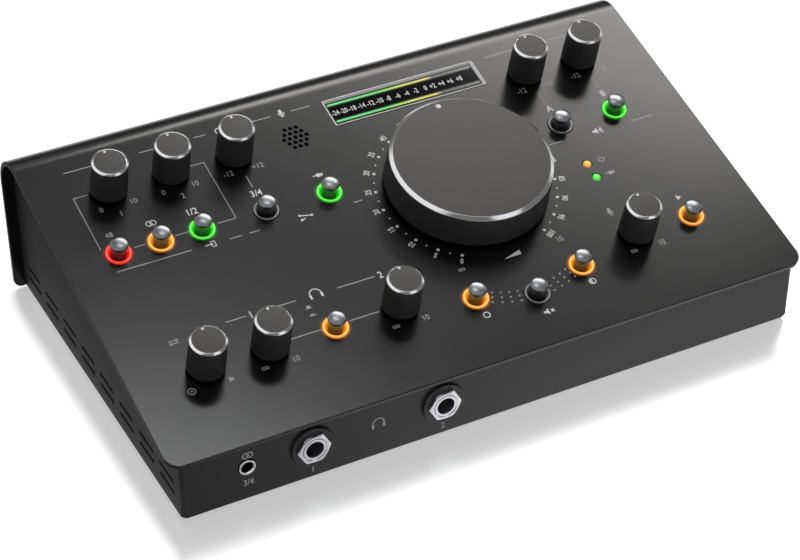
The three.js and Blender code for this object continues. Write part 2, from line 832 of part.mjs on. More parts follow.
function makeMiniJack() {
  const inside = -traySheet - seatGap;
  const body = block(miniBodyWidth, miniBodyHeight, inside - miniBodyLength, inside);
  const sleeve = turned(
    [
      [0, inside - seatGap],
      [miniRingRadius, inside - seatGap],
      [miniRingRadius, miniRingProud / 2],
      [miniRingRadius - miniRingProud / 2, miniRingProud],
      [0, miniRingProud],
    ],
    jackFacets,
  );
  const well = bore(miniBoreRadius, -miniBoreDepth, overrun, jackFacets);
  const mouthRadius = miniRingRadius - miniRingRim;
  const mouth = turned(
    [
      [0, 0],
      [miniBoreRadius, 0],
      [mouthRadius, miniRingProud],
      [mouthRadius, overrun],
      [0, overrun],
    ],
    jackFacets,
  );
  return cut(solid(body).add(solid(sleeve)), [solid(well), solid(mouth)]);
}

// A combined input: square flange outside the flap, round barrel inside, with a ring-shaped gap for
// a three-pin plug's shell round an insert that takes a 6.35 mm plug.
function makeCombo() {
  const outline = roundedRectangle(
    comboFlangeWidth,
    comboFlangeHeight,
    comboFlangeCorner,
    smallCornerFacets,
  );
  const flange = prism(outline, comboFlangeSheet).translate(0, 0, seatGap);
  const face = comboFlangeSheet + seatGap;
  const barrel = rod(comboBarrelRadius, -coverSheet - comboBarrelLength, face, barrelFacets);
  const shellGap = turned(
    [
      [0, face - comboInsertSink],
      [comboInsertRadius, face - comboInsertSink],
      [comboInsertRadius, face - comboShellDepth],
      [comboShellRadius, face - comboShellDepth],
      [comboShellRadius, face + overrun],
      [0, face + overrun],
    ],
    barrelFacets,
  );
  return cut(solid(flange).add(solid(barrel)), [solid(shellGap), jackBore(face)]);
}

// A pair of stacked output jacks in one moulded body behind the flap.
function makeOutputPair() {
  const inside = -coverSheet - seatGap;
  const height = outputPitch + jackBodyHeight;
  const pieces = [solid(block(outputBodyWidth, height, inside - jackBodyLength, inside))];
  const bores = [];
  for (const rise of outputRises) {
    const front = makeJackFront(coverSheet, seatGap, outputNutProud, outputBushingProud);
    pieces.push(front.translate([0, rise, 0]));
    bores.push(jackBore(outputBushingProud).translate([0, rise, 0]));
  }
  return cut(join(pieces), bores);
}

function makeUsbSocket() {
  const shell = block(usbWidth, usbHeight, -usbLength, socketProud);
  const port = block(
    usbWidth - 2 * usbWall,
    usbHeight - 2 * usbWall,
    socketProud - usbDepth,
    socketProud + overrun,
  );
  return cut(solid(shell), [solid(port)]);
}

function makeInlet() {
  const shell = block(inletWidth, inletHeight, -inletLength, socketProud);
  const well = bore(inletBoreRadius, socketProud - inletDepth, socketProud + overrun, jackFacets);
  const pin = rod(inletPinRadius, -(inletLength + inletDepth) / 2, 0, lightFacets);
  return cut(solid(shell), [solid(well)]).add(solid(pin));
}

// Assembly
const controller = new THREE.Group();
const body = new THREE.Group();
controller.add(body);
body.add(panelFrame, flapFrame, frontFrame);

addPiece(body, "top_cover", makeCover(), coverFinish);
addPiece(body, "chassis_tray", makeTray(), trayFinish);
addPiece(panelFrame, "control_board", makeBoard(), boardFinish);

for (const knob of knobs) {
  const turning = new THREE.Group();
  turning.position.set(...placeOf(knob));
  panelFrame.add(turning);
  addPiece(turning, `${knob.name}_knob`, makeKnobBody(), knobFinish);
  const cap = makeCap(
    knobFootRadius - knobTaper,
    knobTop,
    knobCapHeight,
    knobChamferWidth,
    knobChamferDrop,
    knobFacets,
  );
  addPiece(turning, `${knob.name}_cap`, cap, capFinish);
}

const volume = new THREE.Group();
volume.position.set(...volumePlace);
panelFrame.add(volume);
addPiece(volume, "volume_knob", makeVolumeBody(), knobFinish);
const volumeCap = makeCap(
  volumeFootRadius - volumeTaper,
  volumeTop,
  volumeCapHeight,
  volumeChamferWidth,
  volumeChamferDrop,
  volumeFacets,
);
addPiece(volume, "volume_cap", volumeCap, capFinish);

for (const button of buttons) {
  const place = placeOf(button);
  const glow = button.glow ? lit(ringColours[button.glow]) : unlit;
  addPiece(panelFrame, `${button.name}_button`, makeButton(), buttonFinish).position.set(...place);
  addPiece(panelFrame, `${button.name}_light_ring`, makeRing(), glow).position.set(...place);
}

addPiece(panelFrame, "meter_bezel", makeBezel(), chromeFinish).position.set(...meterPlace);
addPiece(panelFrame, "meter_window", makeWindow(), windowFinish).position.set(...meterPlace);
for (const light of lights) {
  const mesh = addPiece(panelFrame, light.name, makeLight(), lit(ringColours[light.glow]));
  mesh.position.set(...placeOf(light));
}

for (const { name, x } of frontJacks) {
  const jack = addPiece(frontFrame, name, makeHeadphoneJack(), nickelFinish);
  jack.position.set(x, jackAxisHeight, 0);
}
const miniJack = addPiece(frontFrame, "stereo_input_jack", makeMiniJack(), nickelFinish);
miniJack.position.set(miniX, jackAxisHeight, 0);

const rearPieces = [
  ...combos.map(({ name, x }) => [name, x, makeCombo(), socketFinish]),
  ...outputs.map(({ name, x }) => [name, x, makeOutputPair(), nickelFinish]),
  ["usb_socket", usbX, makeUsbSocket(), nickelFinish],
  ["power_inlet", inletX, makeInlet(), socketFinish],
];
for (const [name, x, shape, finish] of rearPieces) {
  addPiece(flapFrame, name, shape, finish).position.set(x, rearSocketHeight, 0);
}

// The origin goes to the middle of the outline, on the surface under the feet.
controller.updateMatrixWorld(true);
const box = new THREE.Box3().setFromObject(controller, true);
const middle = box.getCenter(new THREE.Vector3());
body.position.set(-middle.x, -middle.y, -box.min.z);

export default controller;
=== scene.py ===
import json
import math

import bmesh
import bpy
import numpy as np
from mathutils import Matrix, Vector


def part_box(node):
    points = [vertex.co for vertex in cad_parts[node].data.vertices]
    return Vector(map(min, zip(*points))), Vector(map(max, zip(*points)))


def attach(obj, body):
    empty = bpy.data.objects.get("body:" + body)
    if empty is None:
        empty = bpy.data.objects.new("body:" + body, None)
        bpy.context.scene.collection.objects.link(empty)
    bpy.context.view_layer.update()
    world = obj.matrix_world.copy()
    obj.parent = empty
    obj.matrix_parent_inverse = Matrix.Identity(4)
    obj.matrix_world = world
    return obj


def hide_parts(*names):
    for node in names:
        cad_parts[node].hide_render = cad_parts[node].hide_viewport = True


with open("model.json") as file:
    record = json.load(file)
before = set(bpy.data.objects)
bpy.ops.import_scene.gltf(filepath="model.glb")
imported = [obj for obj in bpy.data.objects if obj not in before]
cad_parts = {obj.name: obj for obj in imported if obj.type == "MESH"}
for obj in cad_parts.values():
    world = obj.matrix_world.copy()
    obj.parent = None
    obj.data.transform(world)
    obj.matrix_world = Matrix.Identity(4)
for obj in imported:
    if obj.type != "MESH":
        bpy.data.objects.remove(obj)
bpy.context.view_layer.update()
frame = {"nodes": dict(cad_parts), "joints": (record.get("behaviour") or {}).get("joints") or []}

# Looks of the desktop monitor controller: bent cover, vented tray, knobs, lit push buttons, level
# meter, sockets and printing. Lengths are millimetres until a working plane turns them into metres.
mm = 0.001
scene = bpy.context.scene
joints = {joint["name"]: joint for joint in frame["joints"]}


# Working planes

class Plane:
    # millimetres across, up and out of a flat plane become metres in the frame
    def __init__(self, origin, across, up):
        self.origin = np.array(origin, float)
        self.axes = np.array([across, up, np.cross(across, up)], float)

    def put(self, points):
        return self.origin + np.asarray(points, float) * mm @ self.axes

    def measured(self, points):
        return (np.asarray(points) - self.origin) @ self.axes.T / mm

    def at(self, x, y, z=0.0):
        # the same plane with its origin at a place on it
        return Plane(self.put([x, y, z]), *self.axes[:2])

    def stationOf(self, node):
        # where the middle of a CAD node stands on the plane
        return self.measured(centreOf(node))[:2]


def boxOf(node):
    return np.array([tuple(corner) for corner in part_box(node)])


def centreOf(node):
    return boxOf(node).mean(0)


coverLow, coverHigh = boxOf("top_cover")
trayLow, trayHigh = boxOf("chassis_tray")
coverHalf, trayHalf = (coverHigh[0] - coverLow[0]) / mm / 2, (trayHigh[0] - trayLow[0]) / mm / 2
frontY, footHeight = trayLow[1] / mm, 0.8
hair = 0.02  # the gap that keeps two faces out of one plane
floorZ = trayLow[2] / mm + footHeight
panelNormal = np.array(joints["volume_turn"]["axis"], float)
acrossPanel = np.array([1.0, 0.0, 0.0])
upPanel = np.cross(panelNormal, acrossPanel)
volumeAt = np.array(joints["volume_turn"]["pos_m"], float)
panelCorner = volumeAt + upPanel * (coverLow[1] - volumeAt[1]) / upPanel[1]
panelCorner[0] = trayLow[0]
slope = math.atan2(upPanel[2], upPanel[1])

panel = Plane(panelCorner, acrossPanel, upPanel)
front = Plane(trayLow, [1, 0, 0], [0, 0, 1])
side = Plane([0, 0, 0], [0, 1, 0], [0, 0, 1])
level = Plane([0, 0, 0], [1, 0, 0], [0, 1, 0])


# Bodies: arrays of points and of faces, in millimetres

def quadsOf(index):
    # one face between each four neighbours of a grid of point numbers
    corners = (index[:-1, :-1], index[1:, :-1], index[1:, 1:], index[:-1, 1:])
    return np.stack(corners, -1).reshape(-1, 4)


def ladder(one, other):
    # one face between each two neighbours on two lines of point numbers
    return np.stack([one[:-1], one[1:], other[1:], other[:-1]], -1)


def gridBody(points, wrapRows=False, wrapColumns=False):
    # a surface of two parameters, given as its grid of points; it may close on itself either way
    index = np.arange(points.shape[0] * points.shape[1]).reshape(points.shape[:2])
    if wrapRows:
        index = np.vstack([index, index[:1]])
    if wrapColumns:
        index = np.hstack([index, index[:, :1]])
    return points.reshape(-1, 3), [quadsOf(index)]


def sheetBody(outer, inner):
    # two grids of one size become the two sides of a sheet, and rims close it all round
    rows, columns = outer.shape[:2]
    ring = np.concatenate([outer, inner[:, ::-1]], axis=1)
    index = np.arange(rows * 2 * columns).reshape(rows, -1)
    ends = [ladder(row[:columns], row[::-1][:columns]) for row in (index[0], index[-1])]
    return ring.reshape(-1, 3), [quadsOf(np.hstack([index, index[:, :1]])), *ends]


def withHeight(outline, height):
    return np.column_stack([outline, np.broadcast_to(height, len(outline))])


def layered(rows, closed=False):
    # outlines at their heights, each joined to the next
    points = np.stack([withHeight(*row) for row in rows])
    return gridBody(points, wrapRows=closed, wrapColumns=True)


def fullTurn(segments):
    return np.linspace(0, 2 * math.pi, segments, endpoint=False)


def around(turn):
    # the point at an angle on a circle of radius 1: x = cos t, y = sin t
    return np.stack([np.cos(turn), np.sin(turn)], -1)


def circle(radius, segments):
    return radius * around(fullTurn(segments))


def arcLine(radius, fromDegrees, toDegrees, steps):
    return radius * around(np.radians(np.linspace(fromDegrees, toDegrees, steps + 1)))


def roundedRectangle(width, height, radius, steps=6):
    # four quarter circles, one round each corner's centre
    turn = np.linspace(0, math.pi / 2, steps + 1) + np.arange(4)[:, None] * math.pi / 2
    signs = np.array([[1, 1], [-1, 1], [-1, -1], [1, -1]])[:, None]
    centres = signs * (np.array([width, height]) / 2 - radius)
    return (centres + radius * around(turn)).reshape(-1, 2)


def softened(corners, reach, steps=4):
    # each inner corner of a profile becomes a curve that starts and ends reach away from it:
    # the point at share s is (1-s)^2 start + 2 s (1-s) corner + s^2 end
    corners = np.asarray(corners, float)
    corner = corners[1:-1]
    legs = np.stack([corners[:-2], corners[2:]]) - corner
    lengths = np.linalg.norm(legs, axis=-1, keepdims=True)
    start, end = (corner + legs / lengths * np.minimum(reach, 0.45 * lengths.min(0)))[:, :, None]
    share = np.linspace(0, 1, steps + 1)[:, None]
    curve = (1 - share) ** 2 * start + 2 * share * (1 - share) * corner[:, None] + share ** 2 * end
    return np.vstack([corners[:1], curve.reshape(-1, 2), corners[-1:]])


def lathe(profile, segments, closed=False):
    # radius and height carried round the axis: x = r cos t, y = r sin t, z = height
    profile = np.asarray(profile, float)
    turn = fullTurn(segments)
    radius, height = profile[:, :1], profile[:, 1:]
    points = np.stack([radius * np.cos(turn), radius * np.sin(turn), height + 0 * turn], -1)
    return gridBody(points, wrapRows=closed, wrapColumns=True)


def turned(corners, segments, reach, steps=4, closed=False):
    # a profile with softened corners carried round; a closed one ends where it starts
    profile = softened(corners, reach, steps)
    return lathe(profile[:-1] if closed else profile, segments, closed)


def prism(outline, low, high):
    # an outline carried straight up, closed over its middle at both ends
    outline = np.asarray(outline, float)
    middle = np.broadcast_to(outline.mean(0), outline.shape)
    return layered([(middle, low), (outline, low), (outline, high), (middle, high)])


def framedRing(width, height, radius, section):
    # a closed section of inset and height pairs carried round a rounded rectangle
    return layered([
        (roundedRectangle(width - 2 * inset, height - 2 * inset, max(radius - inset, 0.05)), rise)
        for inset, rise in section
    ], closed=True)


def combined(bodies):
    # the bodies' points one after another, with each body's face numbers moved past the last
    counts = np.cumsum([0] + [len(points) for points, faces in bodies])
    faces = [face + start for start, (points, faces) in zip(counts, bodies) for face in faces]
    return np.vstack([points for points, faces in bodies]), faces


def moved(body, x=0.0, y=0.0, z=0.0, turn=0.0):
    # turned about the axis by an angle in degrees, then shifted
    cosine, sine = math.cos(math.radians(turn)), math.sin(math.radians(turn))
    spin = np.array([[cosine, sine, 0], [-sine, cosine, 0], [0, 0, 1]])
    return body[0] @ spin + [x, y, z], body[1]


def drill(radius, places, reach, segments=48):
    # one round tool through a sheet at each place
    tool = prism(circle(radius, segments), -reach, reach)
    return [moved(tool, x, y) for x, y in places]


def fromAxis(points):
    return np.hypot(points[:, 0], points[:, 1])


# Finishes
white, black = (1.0, 1.0, 1.0, 1.0), (0.0, 0.0, 0.0, 1.0)


class Wire:
    # a socket of a material, so that sums on values are written as sums
    def __init__(self, finish, socket):
        self.finish = finish
        self.socket = socket

    def maths(self, operation, first, second=0.0):
        return self.finish.node("ShaderNodeMath", {"operation": operation}, {0: first, 1: second})

    def __add__(self, other):
        return self.maths("ADD", self, other)

    def __sub__(self, other):
        return self.maths("SUBTRACT", self, other)

    def __rsub__(self, other):
        return self.maths("SUBTRACT", other, self)

    def __mul__(self, other):
        return self.maths("MULTIPLY", self, other)

    def __truediv__(self, other):
        return self.maths("DIVIDE", self, other)

    def __pow__(self, other):
        return self.maths("POWER", self, other)

    def wave(self):
        return self.maths("SINE", self)

    def size(self):
        return self.maths("ABSOLUTE", self)

    def larger(self, other):
        return self.maths("MAXIMUM", self, other)

    __radd__ = __add__
    __rmul__ = __mul__


def shade(colour, factor):
    return tuple(min(channel * factor, 1.0) for channel in colour)


class Finish:
    # a node tree with one method for every node, and short names for the usual ones
    def __init__(self, owner):
        owner.use_nodes = True
        self.owner = owner
        self.tree = owner.node_tree
        self.tree.nodes.clear()

    def node(self, kind, settings=None, sockets=None, out=0):
        made = self.tree.nodes.new(kind)
        for key, value in (settings or {}).items():
            if key == "stops":
                ramp = made.color_ramp
                while len(ramp.elements) < len(value):
                    ramp.elements.new(1.0)
                for element, (position, colour) in zip(ramp.elements, value):
                    element.position = position
                    element.color = (*colour, 1.0)
            else:
                setattr(made, key, value)
        for key, value in (sockets or {}).items():
            if isinstance(value, Wire):
                self.tree.links.new(value.socket, made.inputs[key])
            else:
                made.inputs[key].default_value = value
        return Wire(self, made.outputs[out]) if len(made.outputs) else None

    def noise(self, size, detail=2.0):
        # size is the width of one blot in millimetres
        place = self.node("ShaderNodeTexCoord", out="Object")
        sockets = {"Vector": place, "Scale": 1 / (size * mm), "Detail": detail}
        return self.node("ShaderNodeTexNoise", {}, sockets)

    def stored(self, name):
        return self.node("ShaderNodeAttribute", {"attribute_name": name}, out="Fac")

    def part(self, vector, name):
        return self.node("ShaderNodeSeparateXYZ", {}, {"Vector": vector}, out=name)

    def along(self, direction, other):
        sockets = {0: direction, 1: other}
        return self.node("ShaderNodeVectorMath", {"operation": "DOT_PRODUCT"}, sockets, out="Value")

    def mixed(self, factor, first, second):
        colours = [value if isinstance(value, Wire) else (*value, 1.0) for value in (first, second)]
        sockets = {0: factor, 6: colours[0], 7: colours[1]}
        return self.node("ShaderNodeMix", {"data_type": "RGBA"}, sockets, out=2)

    def toned(self, factor, colour, spread):
        # darker by the spread at 0 and lighter by it at 1
        return self.mixed(factor, shade(colour, 1 - spread), shade(colour, 1 + spread))

    def bump(self, height, depth):
        # depth is the height of the relief in millimetres
        return self.node("ShaderNodeBump", {}, {"Height": height, "Distance": depth * mm, "Strength": 1.0})

    def between(self, value, low, high):
        # 0 below low, 1 above high and a smooth rise between them
        sockets = {"Value": value, "From Min": low, "From Max": high}
        return self.node("ShaderNodeMapRange", {"interpolation_type": "SMOOTHSTEP"}, sockets)

    def ray(self, kind):
        # 1 for this kind of ray, 0 for the rest
        return self.node("ShaderNodeLightPath", out="Is " + kind + " Ray")

    def plainSight(self):
        return self.ray("Camera").larger(self.ray("Transmission"))

    def emission(self, strength):
        return self.node("ShaderNodeEmission", {}, {"Color": white, "Strength": strength})

    def mixedShader(self, factor, first, second):
        return self.node("ShaderNodeMixShader", {}, {0: factor, 1: first, 2: second})

    def surface(self, shader):
        kind = "World" if isinstance(self.owner, bpy.types.World) else "Material"
        self.node("ShaderNodeOutput" + kind, {}, {"Surface": shader})
        return self.owner

    def principled(self, sockets):
        return self.surface(self.node("ShaderNodeBsdfPrincipled", {}, sockets))


def newFinish(name):
    return Finish(bpy.data.materials.new(name))


def coatedFinish(
    name, colour, metallic, roughness, roughnessSpread, spread, blotSize, grainSize, grainDepth, ior,
):
    # blotches vary the colour, and a fine grain is the relief and varies the roughness
    finish = newFinish(name)
    blot, grain = finish.noise(blotSize, 3.0), finish.noise(grainSize, 4.0)
    return finish.principled({
        "Base Color": finish.toned(blot, colour, spread),
        "Metallic": metallic,
        "Roughness": roughness + (grain - 0.5) * roughnessSpread,
        "IOR": ior,
        "Normal": finish.bump(grain, grainDepth),
    })


# colour, metallic, roughness and its spread, spread of the colour, sizes of blots and grain, depth
# of the grain, refractive index
looks = {
    "coverPaint": ((0.036, 0.0358, 0.0355), 0.9, 0.21, 0.1, 0.05, 9.0, 0.4, 0.009, 1.5),
    "trayPaint": ((0.022, 0.0225, 0.0226), 0.2, 0.5, 0.12, 0.06, 7.0, 0.3, 0.012, 1.45),
    "boardLacquer": ((0.012, 0.05, 0.022), 0.0, 0.35, 0.1, 0.25, 2.5, 0.6, 0.02, 1.5),
    "knobRubber": ((0.028, 0.028, 0.0285), 0.0, 0.46, 0.1, 0.08, 3.0, 0.22, 0.01, 1.4),
    "blackPlastic": ((0.008, 0.008, 0.0085), 0.0, 0.42, 0.14, 0.1, 3.0, 0.25, 0.01, 1.5),
    "nickel": ((0.62, 0.62, 0.66), 1.0, 0.24, 0.12, 0.05, 2.0, 0.2, 0.004, 1.5),
    "bezelMetal": ((0.44, 0.435, 0.43), 1.0, 0.32, 0.08, 0.04, 4.0, 0.3, 0.001, 1.5),
    "darkSteel": ((0.09, 0.09, 0.095), 1.0, 0.3, 0.12, 0.08, 1.5, 0.2, 0.003, 1.5),
    "chrome": ((0.74, 0.74, 0.76), 1.0, 0.13, 0.06, 0.03, 3.0, 0.3, 0.001, 1.5),
    "smokedCap": ((0.165, 0.168, 0.177), 1.0, 0.27, 0.08, 0.06, 1.5, 0.25, 0.001, 1.5),
    "smokedStem": ((0.11, 0.11, 0.115), 0.9, 0.2, 0.08, 0.06, 1.5, 0.25, 0.001, 1.5),
    "smokedWindow": ((0.0012, 0.0012, 0.0013), 0.0, 0.08, 0.03, 0.1, 6.0, 0.8, 0.0005, 1.2),
    "printInk": ((0.4, 0.395, 0.39), 0.0, 0.5, 0.1, 0.05, 0.8, 0.15, 0.003, 1.5),
    "brightInk": ((0.78, 0.775, 0.77), 0.0, 0.5, 0.1, 0.04, 0.8, 0.15, 0.003, 1.5),
    "goldContact": ((0.75, 0.5, 0.18), 1.0, 0.25, 0.1, 0.05, 1.0, 0.2, 0.002, 1.5),
    "footRubber": ((0.012, 0.012, 0.012), 0.0, 0.75, 0.1, 0.12, 2.0, 0.3, 0.02, 1.5),
}
finishes = {name: coatedFinish(name, *look) for name, look in looks.items()}

capLook = {
    "colour": (0.044, 0.043, 0.041), "spread": 0.04, "metallic": 0.5, "roughness": 0.5,
    "roughnessSpread": 0.1, "ringPitch": 0.3, "ringDepth": 0.0005, "grainSize": 0.3,
}


def capFinish(name):
    # a turned face: fine rings of relief and tone about the knob's own axis
    finish = newFinish(name)
    rings = (finish.stored("fromAxis") * (2 * math.pi / capLook["ringPitch"])).wave()
    grain = finish.noise(capLook["grainSize"], 3.0)
    tone = rings * 0.25 + grain * 0.5 + 0.25  # half from the rings' wave, half from the grain
    return finish.principled({
        "Base Color": finish.toned(tone, capLook["colour"], capLook["spread"]),
        "Metallic": capLook["metallic"],
        "Roughness": capLook["roughness"] + (grain - 0.5) * capLook["roughnessSpread"],
        "Normal": finish.bump(rings, capLook["ringDepth"]),
    })


glows = {  # the deep colour at a lit ring's edge and the pale one at its core
    "red": ((0.5, 0.0, 0.003), (1.0, 0.12, 0.08)),
    "amber": ((0.62, 0.14, 0.0), (1.0, 0.66, 0.16)),
    "green": ((0.0, 0.36, 0.0), (0.2, 1.0, 0.14)),
}
glowLook = {
    "mottleSize": 0.6, "mottleShare": 0.2, "bodyShade": 0.15, "roughness": 0.16, "roughnessSpread": 0.1,
    "strength": 1.1,
}
spillLook = {
    "mottleSize": 0.5, "shade": 0.8, "roughness": 0.5, "roughnessSpread": 0.1, "alpha": (0.9, 0.2),
}


def glowFinish(name, edge, core):
    # a lit light pipe: the stored glow goes from its deep edge colour to its pale core
    finish = newFinish(name)
    mottle = finish.noise(glowLook["mottleSize"])
    share = finish.stored("glow") + (mottle - 0.5) * glowLook["mottleShare"]
    return finish.principled({
        "Base Color": shade(edge, glowLook["bodyShade"]) + (1.0,),
        "Roughness": glowLook["roughness"] + mottle * glowLook["roughnessSpread"],
        "Emission Color": finish.mixed(share, edge, core),
        "Emission Strength": glowLook["strength"],
    })


def spillFinish(name, edge):
    # coloured light on the panel round a lit ring: the stored fade is its strength
    finish = newFinish(name)
    mottle = finish.noise(spillLook["mottleSize"])
    least, spread = spillLook["alpha"]
    return finish.principled({
        "Base Color": black,
        "Roughness": spillLook["roughness"] + mottle * spillLook["roughnessSpread"],
        "Emission Color": finish.mixed(mottle, shade(edge, spillLook["shade"]), edge),
        "Emission Strength": glowLook["strength"],
        "Alpha": finish.stored("fade") * (least + mottle * spread),
    })


# the funnel colour is painted shade inside the pipe, and the lip colour is a painted highlight on its rim
clearLook = {
    "funnel": (0.13, 0.13, 0.132), "lip": (0.5, 0.5, 0.51), "lipPower": 2.0, "roughness": 0.16,
    "roughnessSpread": 0.08, "grainSize": 0.3, "grainDepth": 0.001,
}


def clearFinish(name):
    # an unlit light pipe: painted shade keeps it dark in its funnel, and a painted highlight makes it pale
    # where the stored glow marks its lip
    finish = newFinish(name)
    grain = finish.noise(clearLook["grainSize"])
    lip = finish.stored("glow") ** clearLook["lipPower"]
    return finish.principled({
        "Base Color": finish.mixed(lip, clearLook["funnel"], clearLook["lip"]),
        "Roughness": clearLook["roughness"] + grain * clearLook["roughnessSpread"],
        "Normal": finish.bump(grain, clearLook["grainDepth"]),
    })


finishes["capMetal"] = capFinish("capMetal")
for name, (edge, core) in glows.items():
    finishes[name] = glowFinish(name, edge, core)
    finishes[name + "Spill"] = spillFinish(name + "Spill", edge)
finishes["clearRing"] = clearFinish("clearRing")
print("finishes:", len(finishes))


# Pieces

def linked(name, data):
    made = bpy.data.objects.new(name, data)
    scene.collection.objects.link(made)
    return made


def meshOf(name, body, plane, stored=None):
    # points go to their place, doubled points at poles and seams are merged, faces turned outwards
    points, faces = combined(body) if isinstance(body, list) else body
    mesh = bpy.data.meshes.new(name)
    mesh.from_pydata(plane.put(points).tolist(), [], [face for group in faces for face in group.tolist()])
    for key, values in (stored or {}).items():
        attribute = mesh.attributes.new(key, "FLOAT", "POINT")
        attribute.data.foreach_set("value", np.asarray(values, np.float32))
    edit = bmesh.new()
    edit.from_mesh(mesh)
    bmesh.ops.remove_doubles(edit, verts=edit.verts, dist=0.0005 * mm)
    bmesh.ops.dissolve_degenerate(edit, edges=edit.edges, dist=0.0001 * mm)
    bmesh.ops.recalc_face_normals(edit, faces=edit.faces)
    edit.to_mesh(mesh)
    edit.free()
    return mesh


def makePiece(name, body, plane, slot, *materials, rides="housing", replaces="", sharp=35.0, stored=None):
    mesh = meshOf(name, body, plane, stored)
    piece = linked(name, mesh)
    for material in materials:
        mesh.materials.append(finishes[material])
    mesh.shade_smooth()
    mesh.set_sharp_from_angle(angle=math.radians(sharp))
    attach(piece, rides)
    if replaces:
        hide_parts(replaces)
    return piece


def secondMaterial(piece, plane, rule):
    # the faces whose middles fit the rule take the piece's second material
    faces = piece.data.polygons
    middles = np.zeros(len(faces) * 3)
    faces.foreach_get("center", middles)
    chosen = rule(plane.measured(middles.reshape(-1, 3)))
    faces.foreach_set("material_index", chosen.astype(np.int32))


def cutAndBevelled(piece, bevel, *groups):
    # tools on their planes cut the holes, then every edge gets a small round that keeps flats flat
    edit = bmesh.new()
    for tools, plane in groups:
        mesh = meshOf("tools", tools, plane)
        edit.from_mesh(mesh)
        bpy.data.meshes.remove(mesh)
    whole = bpy.data.meshes.new("tools")
    edit.to_mesh(whole)
    edit.free()
    tool = linked("tool", whole)
    holes = piece.modifiers.new("holes", "BOOLEAN")
    holes.operation, holes.solver, holes.object = "DIFFERENCE", "EXACT", tool
    bpy.context.view_layer.objects.active = piece
    bpy.ops.object.modifier_apply(modifier=holes.name)
    bpy.data.objects.remove(tool)
    piece.data.shade_smooth()
    edges = piece.modifiers.new("edges", "BEVEL")
    edges.width, edges.segments, edges.limit_method = bevel * mm, 2, "ANGLE"
    edges.angle_limit = math.radians(30)
    edges.use_clamp_overlap, edges.harden_normals = False, True


knobNames = sorted(name[:-5] for name in joints if name.endswith("_turn"))
buttonNames = sorted(name[:-7] for name in joints if name.endswith("_travel"))
knobAt = {name: panel.measured(joints[name + "_turn"]["pos_m"])[:2] for name in knobNames}
buttonAt = {name: panel.stationOf(name + "_light_ring") for name in buttonNames}
lightAt = {name: panel.stationOf(name) for name in ("power_light", "usb_light")}
meterAt = panel.stationOf("meter_window")
comboNodes, outputNodes = ("combo_input_1", "combo_input_2"), ("monitor_output_a", "monitor_output_b")
jackNodes = ("headphone_jack_1", "headphone_jack_2")

# Bent cover
cover = {
    "sheet": 1.8, "panelLength": 141.0, "bendRadius": 14.0, "lean": 2.0, "bendSteps": 30,
    "straightEnd": 1.0, "frontCorner": 6.0, "flapCorner": 3.0, "cornerSteps": 12, "edge": 0.28,
    "bushingHole": 4.7, "ringHole": 4.8, "lightHole": 1.8, "grilleHole": 0.75, "grillePitch": 2.32,
    "grilleAt": (98.97, 121.8), "meterHole": (63.8, 12.7), "toolReach": 4.0,
}


def coverRows():
    # distance up the panel and height over it: straight, then round the bend's centre by an angle,
    # then straight down the flap; beside it the outward direction and the half width
    turnEnd = math.pi / 2 + slope + math.radians(cover["lean"])
    corner = np.radians(np.linspace(0, 90, cover["cornerSteps"] + 1))
    flat = cover["frontCorner"] * (1 - np.cos(corner))
    flat = np.append(flat, cover["panelLength"] - cover["straightEnd"])
    out = around(np.linspace(0, turnEnd, cover["bendSteps"] + 1))[:, ::-1]
    bend = [cover["panelLength"], -cover["bendRadius"]] + cover["bendRadius"] * out
    down = np.array([math.cos(turnEnd), -math.sin(turnEnd)])
    drop = panel.put([0, *bend[-1]])[2] - coverLow[2]
    flapLength = drop / mm / math.cos(math.radians(cover["lean"]))
    flapRows = flapLength - cover["flapCorner"] * (1 - np.cos(corner[::-1]))
    flapRows = np.append(cover["straightEnd"], flapRows)
    line = np.vstack([np.column_stack([flat, 0 * flat]), bend, bend[-1] + flapRows[:, None] * down])
    outward = np.vstack([np.tile([0.0, 1.0], (len(flat), 1)), out, np.tile(out[-1], (len(flapRows), 1))])
    half = np.full(len(line), coverHalf)
    half[:len(corner)] -= cover["frontCorner"] * (1 - np.sin(corner))
    half[-len(corner):] -= cover["flapCorner"] * (1 - np.sin(corner[::-1]))
    return line, outward, half, down, bend[-1] + flapLength * down


coverLine, coverOut, coverHalves, flapRun, flapFoot = coverRows()

# the flap is seen from behind: x runs to the right of that view
flapDown = upPanel * flapRun[0] + panelNormal * flapRun[1]
flapOrigin = panel.put([0, *flapFoot])
flapOrigin[0] = 0
flap = Plane(flapOrigin, [-1, 0, 0], -flapDown)

rear = {
    "comboFlange": (26.0, 31.0, 2.5), "comboSheet": 1.6, "barrel": 11.8, "shell": 9.7, "insert": 7.7,
    "jackBore": 3.25, "bushing": 4.4, "outputPitch": 17.0, "usbSize": (12.0, 11.0),
    "inletSize": (11.0, 11.0), "fit": 0.3, "height": 23.0, "flangeBand": 1.25, "sunk": 1.2,
    "insertDepth": 12.4, "insertFloor": 11.0, "contactRing": 5.4, "latch": (7.0, 2.6),
    "latchInset": 3.0, "comboScrew": (1.9, 0.9, -0.4), "screwInset": (3.0, 3.2), "nutTwists": (-7, 12),
    "outputSleeve": (3.3, 4.3, 3.0, 19.0), "usbDepth": 16.0, "inletBore": 3.2,
}


def rearAt(node):
    return -centreOf(node)[0] / mm, rear["height"]


def rearHoles(reach):
    fit = rear["fit"]
    holes = drill(rear["barrel"] + fit, [rearAt(node) for node in comboNodes], reach, 64)
    for x, y in map(rearAt, outputNodes):
        pair = [(x, y + rise * rear["outputPitch"]) for rise in (-0.5, 0.5)]
        holes += drill(rear["bushing"] + fit, pair, reach, 40)
    for node, (width, height) in (("usb_socket", rear["usbSize"]), ("power_inlet", rear["inletSize"])):
        outline = roundedRectangle(width + 2 * fit, height + 2 * fit, 0.4, 3)
        holes.append(moved(prism(outline, -reach, reach), *rearAt(node)))
    return holes


